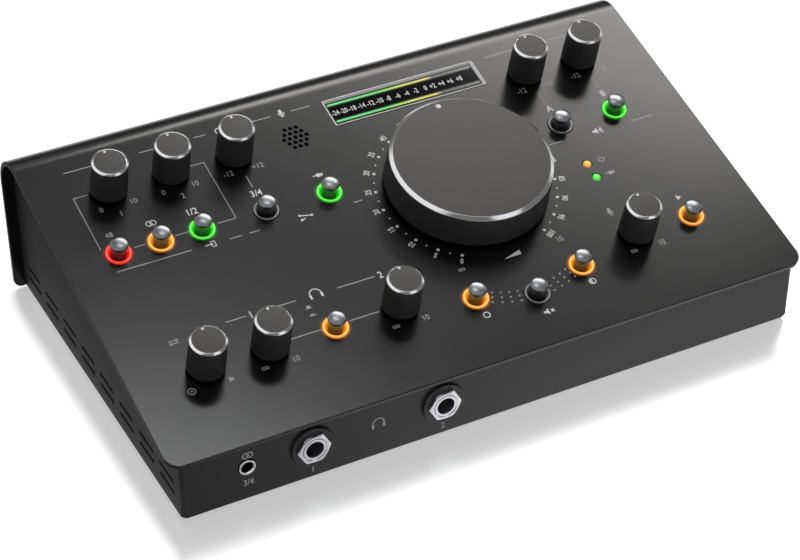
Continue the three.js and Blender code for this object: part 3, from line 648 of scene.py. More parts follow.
def grillePlaces():
    # rows of three, four and five holes, each row half a pitch aside of the last
    rows = [(q + r / 2, r) for q in range(-2, 3) for r in range(-2, 3) if abs(q + r) <= 2]
    return np.array(rows) * cover["grillePitch"] + cover["grilleAt"]


def makeCover():
    # each row of the section spread to its half width, once outside and once inside the sheet
    middle = (coverHigh[0] + coverLow[0]) / 2 / mm - panelCorner[0] / mm
    sides = middle + coverHalves[:, None] * [-1.0, 1.0]

    def faceAt(depth):
        up, over = (coverLine - coverOut * depth).T[:, :, None]
        return np.stack([sides, up + 0 * sides, over + 0 * sides], -1)

    reach = cover["toolReach"]
    window = prism(roundedRectangle(*cover["meterHole"], 0.4, 3), -reach, reach)
    tools = [
        *drill(cover["bushingHole"], knobAt.values(), reach),
        *drill(cover["ringHole"], buttonAt.values(), reach),
        *drill(cover["lightHole"], lightAt.values(), reach, 24),
        *drill(cover["grilleHole"], grillePlaces(), reach, 20), moved(window, *meterAt),
    ]
    piece = makePiece(
        "bent_cover", sheetBody(faceAt(0), faceAt(cover["sheet"])), panel, "cover_finish", "coverPaint",
        replaces="top_cover",
    )
    cutAndBevelled(piece, cover["edge"], (tools, panel), (rearHoles(reach), flap))


makeCover()
print("cover made")

# Folded tray
tray = {
    "sheet": 1.2, "corner": 1.4, "fold": 1.35, "foldSteps": 5, "gap": 0.1, "edge": 0.18, "cornerSteps": 8,
    "ventLength": 12.4, "ventHeight": 1.6, "ventPitch": 17.8, "ventFirst": 12.2, "ventColumns": 8,
    "ventRows": (7.8, 12.5), "toolReach": 3.0, "notch": 1.2, "notchInset": 0.4, "jackHole": 4.7,
    "miniHole": 3.4, "rearEdge": 4.0,
}


def trayPath():
    # the walls' line in plan, as places, inward directions and heights of the rim under the cover:
    # the right half from the front's middle to the rear, with its mirror image before it
    under = coverLine - coverOut * (cover["sheet"] + tray["gap"])
    under = panel.put(np.column_stack([0 * under[:, 0], under]))[:, 1:] / mm
    bendFrom = cover["cornerSteps"] + 2
    rise = under[bendFrom:bendFrom + cover["bendSteps"] + 1]
    rise = rise[:np.argmax(rise[:, 0]) + 1]
    turn = np.radians(np.linspace(0, 90, tray["cornerSteps"] + 1))
    corner, wall = tray["corner"], np.ones(len(rise) + 1)
    x = np.concatenate([[0], trayHalf - corner + corner * np.sin(turn), trayHalf * wall])
    y = np.concatenate([
        [frontY], frontY + corner - corner * np.cos(turn), [rise[0, 0] - tray["rearEdge"]], rise[:, 0],
    ])
    inward = np.vstack([[0, 1], around(turn)[:, ::-1] * [-1, 1], np.outer(wall, [-1, 0])])
    rim = under[0, 1] + (y - under[0, 0]) * math.tan(slope)
    rim[-len(rise):] = rise[:, 1]
    half = np.column_stack([x, y, inward, rim])
    return np.vstack([half[:0:-1] * [-1, 1, -1, 1, 1], half]).T, rise[-1]


def makeTray():
    # a fold's section of insets and heights carried along the path, its rim under the cover; the
    # floor joins each path point to its mirror image
    (x, y, inX, inY, rim), (rearY, rearZ) = trayPath()
    sheet, fold, reach = tray["sheet"], tray["fold"], tray["toolReach"]
    bent = 1 - arcLine(1, 0, 90, tray["foldSteps"])[:, ::-1]
    rows = [fold * bent, [[0, np.nan], [sheet, np.nan]], sheet + (fold - sheet) * bent[::-1]]
    insets, heights = np.vstack(rows).T[:, :, None]
    z = np.where(np.isnan(heights), rim, floorZ + heights)
    points = np.stack([x + inX * insets, y + inY * insets, z], -1)
    count, samples = points.shape[:2]
    index = np.arange(count * samples).reshape(count, samples)
    across = samples // 2 + 1
    faces = [quadsOf(index)]
    faces += [ladder(index[row, :across], index[row, ::-1][:across]) for row in (0, -1)]
    faces += [ladder(index[:count // 2, end], index[::-1][:count // 2, end]) for end in (0, -1)]
    faces.append(index[[[0, 0, -1, -1]], [[0, -1, -1, 0]]])
    # the rear edges lean with the flap: points near them move forward by height
    share = np.clip((points[..., 1] - frontY) / (rearY - frontY), 0, 1)
    upper = (rearZ - points[..., 2]) * math.tan(math.radians(cover["lean"]))
    points[..., 1] -= share ** 6 * np.clip(upper, 0, None)
    piece = makePiece(
        "folded_tray", (points.reshape(-1, 3), faces), level, "tray_finish", "trayPaint",
        replaces="chassis_tray",
    )
    slot = roundedRectangle(tray["ventLength"], tray["ventHeight"], tray["ventHeight"] / 2 - 0.001, 8)
    vents = [
        moved(
            prism(slot, wall - reach, wall + reach),
            frontY + tray["ventFirst"] + column * tray["ventPitch"], floorZ + height,
        )
        for column in range(tray["ventColumns"]) for height in tray["ventRows"]
        for wall in (-trayHalf, trayHalf)
    ]
    bores = drill(tray["jackHole"], map(front.stationOf, jackNodes), reach, 40)
    bores += drill(tray["miniHole"], [front.stationOf("stereo_input_jack")], reach, 32)
    notch = prism(circle(tray["notch"], 32), floorZ - reach, floorZ + fold)
    inset = tray["notchInset"]
    notches = [moved(notch, sign * (trayHalf - inset), frontY + inset) for sign in (-1, 1)]
    cutAndBevelled(piece, tray["edge"], (vents, side), (bores, front), (notches, level))


makeTray()
print("tray made")
board = frame["nodes"]["control_board"].material_slots[0]
board.link, board.material = "OBJECT", finishes["boardLacquer"]

# Knobs
smallKnob = {
    "lift": 1.3, "top": 15.6, "foot": 6.9, "head": 6.65, "cap": 1.2, "chamfer": (0.8, 0.55),
    "shaft": (3.0, -8.0), "skirt": (1.4, 0.9, 0.6), "groove": (0.5, 0.25), "segments": 72,
    "dotAt": 5.04, "dot": 0.55, "dotDepth": (-0.15, 0.06),
}
volumeKnob = {
    **smallKnob, "lift": 2.0, "top": 15.8, "foot": 31.0, "head": 30.4, "cap": 1.6,
    "chamfer": (1.3, 1.05), "groove": (0.5, 0.3), "segments": 144, "dotAt": 26.9, "dot": 1.0,
}


def makeKnob(name, size):
    local, body = panel.at(*knobAt[name]), name + "_control"
    lift, foot, head, top, dot = (size[key] for key in ("lift", "foot", "head", "top", "dot"))
    capFoot, (shaft, shaftFoot), (inner, outer, hollow) = top - size["cap"], size["shaft"], size["skirt"]
    (neck, gap), (width, drop) = size["groove"], size["chamfer"]
    # the grip's profile runs from the shaft's foot round the skirt and the groove to the cap
    grip = turned([
        [0, shaftFoot], [shaft, shaftFoot], [shaft, lift + hollow], [foot - inner, lift + hollow],
        [foot - outer, lift], [foot, lift], [head, capFoot - gap], [head - neck, capFoot - gap],
        [head - neck, capFoot - hair], [0, capFoot - hair],
    ], size["segments"], 0.3)
    makePiece(
        name + "_grip", grip, local, "knob_body", "knobRubber", rides=body, replaces=name + "_knob",
    )
    disc = turned(
        [[0, capFoot], [head, capFoot], [head, top - drop], [head - width, top], [0, top]],
        size["segments"], 0.09, 3,
    )
    cap = makePiece(
        name + "_disc", disc, local, "knob_cap", "capMetal", "chrome", rides=body,
        replaces=name + "_cap", sharp=25.0, stored={"fromAxis": fromAxis(disc[0])},
    )
    secondMaterial(cap, local, lambda middles: fromAxis(middles) > head - width - 0.05)
    low, high = size["dotDepth"]
    mark = turned([[0, low], [dot, low], [dot, high], [0, high]], 28, 0.05, 2)
    mark = moved(mark, 0, size["dotAt"], top)
    makePiece(name + "_dot", mark, local, "knob_cap", "brightInk", rides=body)


for name in knobNames:
    makeKnob(name, volumeKnob if name == "volume" else smallKnob)
print("knobs made:", len(knobNames))

# Push buttons, light rings and lights
button = {
    "stem": 2.8, "cap": 3.4, "capLift": 4.4, "capEdge": 0.6, "dome": 0.8, "foot": -4.2, "segments": 48,
}
ring = {
    "outer": 4.5, "lip": 4.72, "bore": 3.1, "proud": 0.6, "foot": -8.9, "rim": 0.5, "funnel": 1.5,
    "segments": 64, "seat": 0.03, "brightAt": 4.32, "brightWidth": 0.75, "brightFrom": -0.6,
    "brightRise": 0.9, "spill": 1.4, "spillShare": 0.32, "spillSegments": 48, "film": (0.02, 0.005),
}
light = {"radius": 1.5, "rise": 0.45, "foot": -8.9, "fade": 2.2, "segments": 32}
glowOf = {
    "phantom_power": "red", "stereo": "amber", "input_1_2": "green", "input_3_4": None,
    "usb_source": "green", "speaker_a": None, "speaker_b": "green", "phones_cue": "amber",
    "mono": "amber", "mute": None, "dim": "amber", "talkback_cue": "amber",
}


def makeButton(name):
    local = panel.at(*buttonAt[name])
    stem, cap, lift, foot = (button[key] for key in ("stem", "cap", "capLift", "foot"))
    # the dome is a quarter ellipse: radius r cos t, height h sin t
    dome = arcLine(1, 0, 90, 8) * [cap, button["dome"]] + [0, lift + button["capEdge"]]
    under = softened([[0, foot], [stem, foot], [stem, lift - hair], [cap, lift + 0.1], dome[0]], 0.25, 3)
    key = makePiece(
        name + "_key", lathe(np.vstack([under[:-1], dome]), button["segments"]), local, "button",
        "smokedCap", "smokedStem", rides=name + "_press", replaces=name + "_button", sharp=60.0,
    )
    secondMaterial(key, local, lambda middles: middles[:, 2] < lift)


def makeRing(name, glow):
    local = panel.at(*buttonAt[name])
    outer, lip, bore, proud = (ring[key] for key in ("outer", "lip", "bore", "proud"))
    foot, seat = ring["foot"], ring["seat"]
    pipe = turned([
        [bore, foot], [outer, foot], [outer, seat], [lip, seat], [lip, proud], [lip - ring["rim"], proud],
        [bore, proud - ring["funnel"]], [bore, foot],
    ], ring["segments"], 0.2, 4, closed=True)
    # the stored glow marks the rim: on a lit ring it is the pipe's brightest light, and on an unlit ring
    # it places the painted highlight
    bright = np.clip(1 - np.abs(fromAxis(pipe[0]) - ring["brightAt"]) / ring["brightWidth"], 0, 1)
    bright *= np.clip((pipe[0][:, 2] - ring["brightFrom"]) / ring["brightRise"], 0, 1)
    makePiece(
        name + "_glow_ring", pipe, local, "ring_" + (glow or "dark"), glow or "clearRing",
        replaces=name + "_light_ring", sharp=50.0, stored={"glow": bright},
    )
    if glow:
        reach = lip + np.linspace(0, ring["spill"], 9)
        high, low = ring["film"]
        rows = np.vstack([withHeight(reach, high), withHeight(reach[::-1], low)])
        film = lathe(rows, ring["spillSegments"], closed=True)
        away = (fromAxis(film[0]) - lip) / ring["spill"]
        fade = ring["spillShare"] * np.clip(1 - away, 0, 1) ** 2
        makePiece(name + "_spill", film, local, "ring_" + glow, glow + "Spill", stored={"fade": fade})


def makeLight(name, glow):
    # a rod under a quarter ellipse, brightest at its axis
    dome = arcLine(1, 0, 90, 6) * [light["radius"], light["rise"]]
    rows = np.vstack([[0, light["foot"]], [light["radius"], light["foot"]], dome])
    lens = lathe(rows, light["segments"])
    makePiece(
        name + "_lens", lens, panel.at(*lightAt[name]), "ring_" + glow, glow, replaces=name,
        stored={"glow": 1 - fromAxis(lens[0]) / light["fade"]},
    )


for name in buttonNames:
    makeButton(name)
    makeRing(name, glowOf[name])
makeLight("power_light", "amber")
makeLight("usb_light", "green")
print("buttons and lights made:", len(buttonNames) + 2)

# Level meter
meter = {
    "length": 64.5, "width": 13.4, "corner": 0.5, "proud": 0.3, "flange": 0.3, "bevel": (0.85, 0.7),
    "depth": 3.2, "window": 1.2, "rowRise": 4.3, "barHeight": 0.9, "barFrom": -30.7, "barTo": 30.5,
    "barGrid": (60, 9), "barCore": (1.25, 0.5), "numberHeight": 2.45, "numberBoldness": 0.008,
    "numberSqueeze": 0.7,
}
meterPlane = panel.at(*meterAt)
meterTop = meter["proud"] - meter["bevel"][1]


def makeMeter():
    proud, flange, depth = meter["proud"], meter["flange"], meter["depth"]
    inset = flange + meter["bevel"][0]
    section = [
        (0.0, hair), (0.0, proud - 0.2), (0.06, proud - 0.06), (0.2, proud), (flange, proud),
        (inset, meterTop), (inset, -depth), (flange, -depth), (flange, hair),
    ]
    bezel = framedRing(meter["length"], meter["width"], meter["corner"], section)
    makePiece(
        "meter_frame", bezel, meterPlane, "bezel", "bezelMetal", replaces="meter_bezel", sharp=45.0,
    )
    sides = (meter["length"] - 2 * inset - 0.1, meter["width"] - 2 * inset - 0.1)
    glass = prism(roundedRectangle(*sides, 0.3, 4), meterTop - meter["window"], meterTop)
    makePiece("meter_glass", glass, meterPlane, "window", "smokedWindow", replaces="meter_window")


makeMeter()
print("meter made")

# Printing and small marks
inkHeight, glyphDepth = 0.03, 0.02
glyphs = {}


def written(text, x, y, height, boldness=0.0, squeeze=0.88, turn=0.0):
    # the built-in font's shapes, scaled to a height and centred, as one closed plate
    key = (text, boldness)
    if key not in glyphs:
        curve = bpy.data.curves.new("writing", "FONT")
        curve.body, curve.size, curve.resolution_u = text, 1.0, 3
        curve.offset, curve.extrude = boldness, glyphDepth / 2
        holder = linked("writing", curve)
        shape = holder.evaluated_get(bpy.context.evaluated_depsgraph_get()).to_mesh()
        points = np.zeros(len(shape.vertices) * 3)
        shape.vertices.foreach_get("co", points)
        shape.calc_loop_triangles()
        faces = np.zeros(len(shape.loop_triangles) * 3, np.int32)
        shape.loop_triangles.foreach_get("vertices", faces)
        bpy.data.objects.remove(holder)
        points = points.reshape(-1, 3)
        glyphs[key] = (points - (points.min(0) + points.max(0)) / 2, faces.reshape(-1, 3))
    points, faces = glyphs[key]
    scale = height / np.ptp(points[:, 1])
    size = np.array([scale * squeeze, scale, inkHeight / glyphDepth])
    return moved((points * size + [0, 0, inkHeight / 2], [faces]), x, y, turn=turn)


def penLine(path, width):
    # a flat band along a line: each point moved half the width to both sides of its run
    path = np.asarray(path, float)
    run = np.gradient(path, axis=0)
    run /= np.linalg.norm(run, axis=1, keepdims=True)
    aside = np.column_stack([-run[:, 1], run[:, 0]]) * width / 2
    top, bottom = (
        np.stack([withHeight(edge, height) for edge in (path + aside, path - aside)], 1)
        for height in (inkHeight, 0.0)
    )
    return sheetBody(top, bottom)


def dotMark(x, y, radius, segments=16):
    return moved(prism(circle(radius, segments), 0.0, inkHeight), x, y)


def ringLine(x, y, radius, segments=24):
    outline = circle(radius, segments)
    return np.vstack([outline, outline[:1]]) + [x, y]


# what stands on the panel, in millimetres across and up; rows are listed under their height
headingLines = {
    134.5: (
        (12.2, 26.0), (41.7, 61.5), (63.2, 68.0), (79.0, 94.6), (103.2, 111.0), (185.0, 201.0),
        (214.0, 226.0),
    ),
    84.9: ((12.3, 41.0), (55.8, 60.4), (63.5, 67.5), (105.1, 108.6), (187.5, 193.3), (224.0, 232.8)),
    50.6: ((38.6, 46.5), (51.0, 65.7), (81.8, 96.6)),
    35.6: ((55.5, 68.5), (79.5, 91.0)),
}
groupLines = [
    (11.0, 122.0, 11.0, 96.0), (11.0, 122.0, 16.5, 122.0), (56.5, 122.0, 61.9, 122.0),
    (61.9, 122.0, 61.9, 93.2), (61.9, 93.2, 54.6, 93.2), (43.5, 93.2, 38.5, 93.2),
    (26.5, 93.2, 22.4, 93.2), (73.7, 110.5, 73.7, 104.5), (196.8, 110.5, 196.8, 104.5),
    (220.5, 110.5, 220.5, 104.5),
]
smallNumbers = {
    113.6: (
        ("0", 18.3), ("10", 30.9), ("0", 42.4), ("10", 55.0), ("-12", 68.0), ("+12", 79.8),
        ("-12", 191.2), ("+12", 202.5), ("-12", 215.1), ("+12", 226.3),
    ),
    109.7: (("1", 24.4), ("2", 48.4)),
    101.6: (("48", 16.3),),
    27.3: (("10", 55.0), ("10", 105.5), ("10", 203.5)),
    42.4: (("10", 168.4),),
}
boldNumbers = {
    101.6: (("1/2", 48.4), ("3/4", 73.7), ("A", 196.8), ("B", 220.7)),
    50.6: (("1", 48.3), ("2", 98.9)),
}
infinities = [(43.2, 27.3), (93.7, 27.3), (191.5, 27.3), (127.5, 42.2)]
marking = {
    "linePen": 0.34, "headingPen": 0.38, "infinityPen": 0.32, "infinityLoop": (0.624, 0.52),
    "small": 2.4, "bold": 3.0, "front": 2.6, "boldness": 0.012,
}


def makePrinting():
    pen, (loopWide, loopHigh) = marking["linePen"], marking["infinityLoop"]
    fine = [penLine([line[:2], line[2:]], pen) for line in groupLines]
    for y, row in smallNumbers.items():
        fine += [written(text, x, y, marking["small"]) for text, x in row]
    # two rings side by side make a figure eight lying down
    loop = penLine(ringLine(0, 0, 1.0, 20) * [loopWide, loopHigh], marking["infinityPen"])
    fine += [moved(loop, x + offset, y) for x, y in infinities for offset in (-loopWide, loopWide)]
    for y, row in headingLines.items():
        fine += [penLine([[x0, y], [x1, y]], marking["headingPen"]) for x0, x1 in row]
    bold = [
        written(text, x, y, marking["bold"], marking["boldness"])
        for y, row in boldNumbers.items() for text, x in row
    ]
    makePiece("fine_printing", fine, panel, "cover_finish", "printInk")
    makePiece("heading_printing", bold, panel, "cover_finish", "brightInk")


makePrinting()

dial = {
    "radius": 34.2, "dot": 0.62, "smallDot": 0.34, "numberRadius": 37.0, "numberHeight": 2.4,
    "boldness": 0.015, "squeeze": 0.8, "step": 15.0, "from": -150.0, "steps": 20,
}


def makeVolumeScale():
    # clockwise angles from the rear: x = r sin a, y = r cos a
    marks = []
    for count in range(dial["steps"] + 1):
        angle = dial["from"] + count * dial["step"]
        toward, halfWay = around(np.radians([angle, angle + dial["step"] / 2]))[:, ::-1]
        marks.append(dotMark(*(toward * dial["radius"]), dial["dot"]))
        place = toward * dial["numberRadius"]
        marks.append(written(
            str(5 * count), *place, dial["numberHeight"], dial["boldness"], dial["squeeze"], -angle,
        ))
        if count < dial["steps"]:
            marks.append(dotMark(*(halfWay * dial["radius"]), dial["smallDot"]))
    makePiece("volume_scale", marks, panel.at(*knobAt["volume"]), "cover_finish", "brightInk")


makeVolumeScale()

linkDots = {
    "centre": (147.9, 63.7), "radii": (38.0, 40.25, 42.5), "angles": (9.2, 14.0, 18.7, 23.5),
    "dot": 0.36, "segments": 12,
}


def makeLinkDots():
    # x = r sin a, y = -r cos a about the centre, on both hands
    turn = np.radians(np.outer(linkDots["angles"], (-1, 1)).ravel())
    toward = np.column_stack([np.sin(turn), -np.cos(turn)])
    marks = [
        dotMark(*place, linkDots["dot"], linkDots["segments"])
        for radius in linkDots["radii"] for place in linkDots["centre"] + radius * toward
    ]
    makePiece("link_dots", marks, panel, "cover_finish", "printInk")


makeLinkDots()

# small signs: pen lines and filled outlines about their own centre, in millimetres
cups = [
    [[hand * 2.6, -0.4], [hand * 1.7, -0.5], [hand * 1.7, -2.3], [hand * 2.5, -2.3]] for hand in (-1, 1)
]
loudspeaker = [
    [[-2.1, -0.5], [-1.2, -0.5], [-1.2, 0.5], [-2.1, 0.5]],
    [[-1.15, -0.5], [0.0, -1.4], [0.0, 1.4], [-1.15, 0.5]],
]
signs = {
    "socket": ([ringLine(0, 0, 1.3)], [circle(0.45, 16)]),
    "turning": ([arcLine(1.35, -50, 230, 24), [[0, 0], [0.6, 0.85]]], []),
    "microphone": (
        [arcLine(1.15, 180, 360, 16), [[0, -1.15], [0, -1.8]], [[-0.75, -1.8], [0.75, -1.8]]],
        [roundedRectangle(1.2, 2.5, 0.59, 4) + [0, 0.5]],
    ),
    "intoBox": ([
        [[0.3, 1.2], [1.8, 1.2], [1.8, -1.2], [0.3, -1.2]], [[-2.2, 0], [0.8, 0]],
        [[0.0, 0.7], [0.8, 0], [0.0, -0.7]],
    ], []),
    "twoWay": (
        [[[-1.9, 1.0], [1.9, 0.0]], [[-1.9, -1.0], [-0.6, -0.66]]],
        [circle(0.5, 16) + place for place in ([-2.2, 1.1], [-2.2, -1.1], [2.2, 0.0])],
    ),
    "speaker": ([arcLine(1.1, -42, 42, 8), arcLine(1.9, -42, 42, 10)], loudspeaker),
    "muted": (
        [[[0.8, -0.7], [2.1, 0.7]], [[0.8, 0.7], [1.3, 0.16]], [[1.6, -0.16], [2.1, -0.7]]], loudspeaker,
    ),
    "headphones": ([arcLine(2.15, 0, 180, 24) + [0, -0.4]], cups),
    "wedge": ([], [[[-3.6, -0.9], [3.6, -0.9], [3.6, 1.1], [3.6, 1.2]]]),
    "dimmed": ([ringLine(0, 0, 1.25)], [arcLine(1.25, 90, 270, 12)]),
    "single": ([ringLine(0, 0, 1.2)], []),
    "double": ([ringLine(-0.75, 0, 1.1), ringLine(0.75, 0, 1.1)], []),
    "plug": ([[[-2.4, 0], [-0.9, 0]]], [
        roundedRectangle(1.5, 1.7, 0.2, 2) + [-0.2, 0],
        [[0.65, -0.55], [1.6, -0.55], [1.6, 0.55], [0.65, 0.55]],
    ]),
    "power": ([arcLine(1.15, 125, 415, 24), [[0, 0.1], [0, 1.5]]], []),
    "ahead": ([], [[[-0.8, -1.1], [1.1, 0.0], [1.1, 0.02], [-0.8, 1.1]]]),
    "both": ([
        [[-1.8, 0.6], [1.7, 0.6]], [[0.9, 1.2], [1.8, 0.6], [0.9, 0.0]], [[1.8, -0.6], [-1.7, -0.6]],
        [[-0.9, 0.0], [-1.8, -0.6], [-0.9, -1.2]],
    ], []),
    "raisedKey": ([[[-1.3, -0.6], [1.3, -0.6]]], [roundedRectangle(1.3, 1.0, 0.1, 2) + [0, 0.1]]),
    "pressedKey": ([[[-1.3, -0.6], [1.3, -0.6]]], [roundedRectangle(1.3, 0.5, 0.1, 2) + [0, -0.15]]),
}
panelSigns = [
    ("socket", 34.0, 134.5), ("turning", 73.5, 134.5), ("microphone", 99.0, 134.9),
    ("intoBox", 48.3, 84.9), ("twoWay", 86.0, 84.9), ("speaker", 208.7, 84.9),
    ("headphones", 73.5, 51.4), ("wedge", 148.0, 41.9), ("ahead", 220.7, 44.3),
    ("single", 126.2, 20.4), ("dimmed", 169.7, 20.4), ("double", 32.4, 101.6), ("plug", 98.9, 101.6),
    ("muted", 148.0, 13.8),
]
fineSigns = [
    ("microphone", 192.5, 47.4), ("both", 18.5, 49.0), ("power", 202.6, 71.6), ("plug", 202.8, 64.4),
    ("raisedKey", 68.5, 46.4), ("pressedKey", 68.5, 43.0), ("socket", 15.8, 27.3), ("ahead", 30.5, 27.3),
]
frontSigns = [("headphones", 73.9, 15.8), ("double", 24.6, 20.4)]
frontNumbers = [("3/4", 24.6, 8.6), ("1", 48.7, 4.8), ("2", 99.2, 4.8)]


def drawnSign(name, x, y, pen=0.4):
    lines, fills = signs[name]
    parts = [penLine(line, pen) for line in lines] + [prism(fill, 0, inkHeight) for fill in fills]
    return moved(combined(parts), x, y)


def makeSigns():
    marks = [drawnSign(*sign) for sign in panelSigns]
    makePiece("heading_signs", marks, panel, "cover_finish", "brightInk")
    marks = [drawnSign(*sign, marking["linePen"]) for sign in fineSigns]
    makePiece("fine_signs", marks, panel, "cover_finish", "printInk")
    marks = [drawnSign(*sign) for sign in frontSigns]
    marks += [written(*number, marking["front"], marking["boldness"]) for number in frontNumbers]
    makePiece("front_printing", marks, front, "tray_finish", "printInk")


makeSigns()
meterNumbers = [
    ("-24", 118.6), ("-20", 122.2), ("-18", 125.8), ("-14", 129.6), ("-12", 133.4), ("-10", 137.2),
    ("-8", 141.0), ("-6", 145.0), ("-4", 148.8), ("-2", 152.7), ("0", 156.9), ("+2", 160.0),
    ("+4", 163.8), ("+6", 167.6), ("+8", 171.5),
]
# the unlit grey end is emitted as well: a painted glow on segments that are not lit
barColours = {  # share of the bar and colour: green, then yellow, then unlit grey
    "core": [
        (0.0, (0.3, 1.0, 0.45)), (0.36, (0.26, 0.95, 0.22)), (0.5, (0.85, 0.95, 0.2)),
        (0.69, (0.95, 0.85, 0.16)), (0.73, (0.11, 0.11, 0.105)), (1.0, (0.13, 0.13, 0.13)),
    ],
    "edge": [
        (0.0, (0.0, 0.1, 0.012)), (0.38, (0.002, 0.1, 0.004)), (0.52, (0.06, 0.08, 0.001)),
        (0.69, (0.07, 0.055, 0.001)), (0.73, (0.0, 0.0, 0.0)), (1.0, (0.0, 0.0, 0.0)),
    ],
}


barLook = {"colour": (0.002, 0.002, 0.002, 1.0), "roughness": 0.1, "roughnessSpread": 0.05, "fade": 1.6}


def meterBarFinish():
    # the colour follows the place along the bar, and the stored glow fades it to the bar's sides
    finish = newFinish("meterBars")
    share = (finish.stored("along") - meter["barFrom"]) / (meter["barTo"] - meter["barFrom"])
    core, edge = (
        finish.node("ShaderNodeValToRGB", {"stops": barColours[key]}, {0: share})
        for key in ("core", "edge")
    )
    return finish.principled({
        "Base Color": barLook["colour"],
        "Roughness": barLook["roughness"] + finish.noise(0.8) * barLook["roughnessSpread"],
        # past the lit share the emission is the unlit grey: painted light on dark segments
        "Emission Color": finish.mixed(finish.stored("glow") ** barLook["fade"], edge, core),
        "Emission Strength": 1.0,
    })


def makeMeterScale():
    local = meterPlane.at(0, 0, meterTop + 0.01)
    size = (meter["numberHeight"], meter["numberBoldness"], meter["numberSqueeze"])
    marks = [written(text, x - meterAt[0], 0.0, *size) for text, x in meterNumbers]
    makePiece("meter_numbers", marks, local, "window", "brightInk")
    rise, height, (columns, rows) = meter["rowRise"], meter["barHeight"], meter["barGrid"]
    along = np.linspace(meter["barFrom"], meter["barTo"], columns)[:, None]
    across = np.linspace(-1, 1, rows) * height
    grid = np.stack(np.broadcast_arrays(along, across, inkHeight), -1)
    bar = sheetBody(grid, grid * [1, 1, 0])
    points, faces = combined([moved(bar, 0, -rise), moved(bar, 0, rise)])
    most, reach = meter["barCore"]
    core = np.clip(most - np.abs(np.abs(points[:, 1]) - rise) / (height * reach), 0, 1)
    stored = {"glow": core, "along": points[:, 0]}
    makePiece("meter_bars", (points, faces), local, "window", "meterBars", stored=stored)


finishes["meterBars"] = meterBarFinish()
makeMeterScale()
print("printing made")

# Front sockets
jack = {
    "bore": 3.3, "bushing": 4.4, "bushingProud": 2.74, "nutCorner": 6.4, "nutProud": 2.7,
    "nutChamfer": 0.5, "nutBore": 4.35, "nutCone": 0.25, "nutSegments": 96, "collarFoot": 8.2,
    "collar": 7.8, "collarProud": 1.4, "depth": 20.0, "back": 5.4, "segments": 64, "miniBore": 2.2,
    "miniDepth": 12.0,
}


def nutBody(low, high):
    # the radius is the lesser of a hexagon's and a cone's: flat / cos(angle from the flat's middle)
    corner, chamfer, bore = jack["nutCorner"], jack["nutChamfer"], jack["nutBore"]
    turn = fullTurn(jack["nutSegments"])
    flat = corner * math.cos(math.pi / 6)
    hexagon = flat / np.cos(np.mod(turn, math.pi / 3) - math.pi / 6)
    share, past = np.linspace(0, 1, 5), 2 * corner
    narrowed = corner - (corner - flat + jack["nutCone"]) * share
    cone = np.column_stack([narrowed, high - chamfer * (1 - share)])
    rows = [
        [bore, low], [past, low], [past, high - chamfer], cone, [bore + 0.35, high], [bore, high - 0.3],
    ]
    radius, height = np.vstack(rows).T[:, :, None]
    reach = np.minimum(hexagon, radius)
    points = np.stack([reach * np.cos(turn), reach * np.sin(turn), height + 0 * turn], -1)
    return gridBody(points, wrapRows=True, wrapColumns=True)


def sleeveBody(bore, outer, proud, depth):
    # a bushing with its bore, closed at the back of the bore
    back = jack["back"]
    return turned([
        [0, -depth - 1.5], [back, -depth - 1.5], [back, -3.0], [outer, -3.0], [outer, proud],
        [bore, proud], [bore, -depth], [0, -depth],
    ], jack["segments"], 0.25, 3)


def makeHeadphoneJack(node):
    local = front.at(*front.stationOf(node))
    bushing, collar, proud = jack["bushing"], jack["collar"], jack["collarProud"]
    dish = turned([
        [bushing, 0.1], [jack["collarFoot"], 0.1], [collar, proud], [collar - 0.6, proud],
        [collar - 0.9, proud - 0.35], [bushing, proud - 0.35], [bushing, 0.1],
    ], jack["segments"], 0.18, 3, closed=True)
    makePiece(node + "_collar", dish, local, "socket_plastic", "blackPlastic", replaces=node)
    nut = nutBody(proud - 0.33, jack["nutProud"])
    makePiece(node + "_nut", nut, local, "socket_metal", "nickel", sharp=20.0)
    sleeve = sleeveBody(jack["bore"], bushing - 0.1, jack["bushingProud"], jack["depth"])
    makePiece(node + "_sleeve", sleeve, local, "socket_metal", "nickel")


def makeMiniJack(node):
    bore, depth = jack["miniBore"], jack["miniDepth"]
    sleeve = turned([
        [0, -depth - 2.5], [3.2, -depth - 2.5], [3.2, -1.3], [3.1, -1.3], [3.1, 0.4], [2.9, 0.6],
        [2.5, 0.6], [bore, 0.1], [bore, -depth], [0, -depth],
    ], 48, 0.12, 3)
    local = front.at(*front.stationOf(node))
    makePiece("stereo_input_ring", sleeve, local, "socket_metal", "chrome", replaces=node)


for node in jackNodes:
    makeHeadphoneJack(node)
makeMiniJack("stereo_input_jack")
print("front sockets made")


# Rear sockets
screw = {
    "rings": 9, "segments": 48, "dome": 1.06, "grooveWidth": 0.14, "grooveReach": 0.62,
    "grooveDepth": 0.75,
}


def screwBody(radius, rise, low):
    # a domed head with a cross recess: the dome's height drops along two crossed grooves
    reach = radius * (1 - np.linspace(0, 1, screw["rings"])[:, None])
    x, y = reach * around(fullTurn(screw["segments"])).T[:, None]
    away = np.hypot(x, y)
    dome = rise * np.sqrt(np.clip(1 - (away / (radius * screw["dome"])) ** 2, 0, 1))
    groove = np.minimum(np.abs(x), np.abs(y)) < radius * screw["grooveWidth"]
    groove &= away < radius * screw["grooveReach"]
    top = np.stack([x, y, np.where(groove, dome - rise * screw["grooveDepth"], dome)], -1)
    foot = top[:1] * [1, 1, 0] + [0, 0, low]
    return gridBody(np.concatenate([foot * [0, 0, 1], foot, top]), wrapColumns=True)


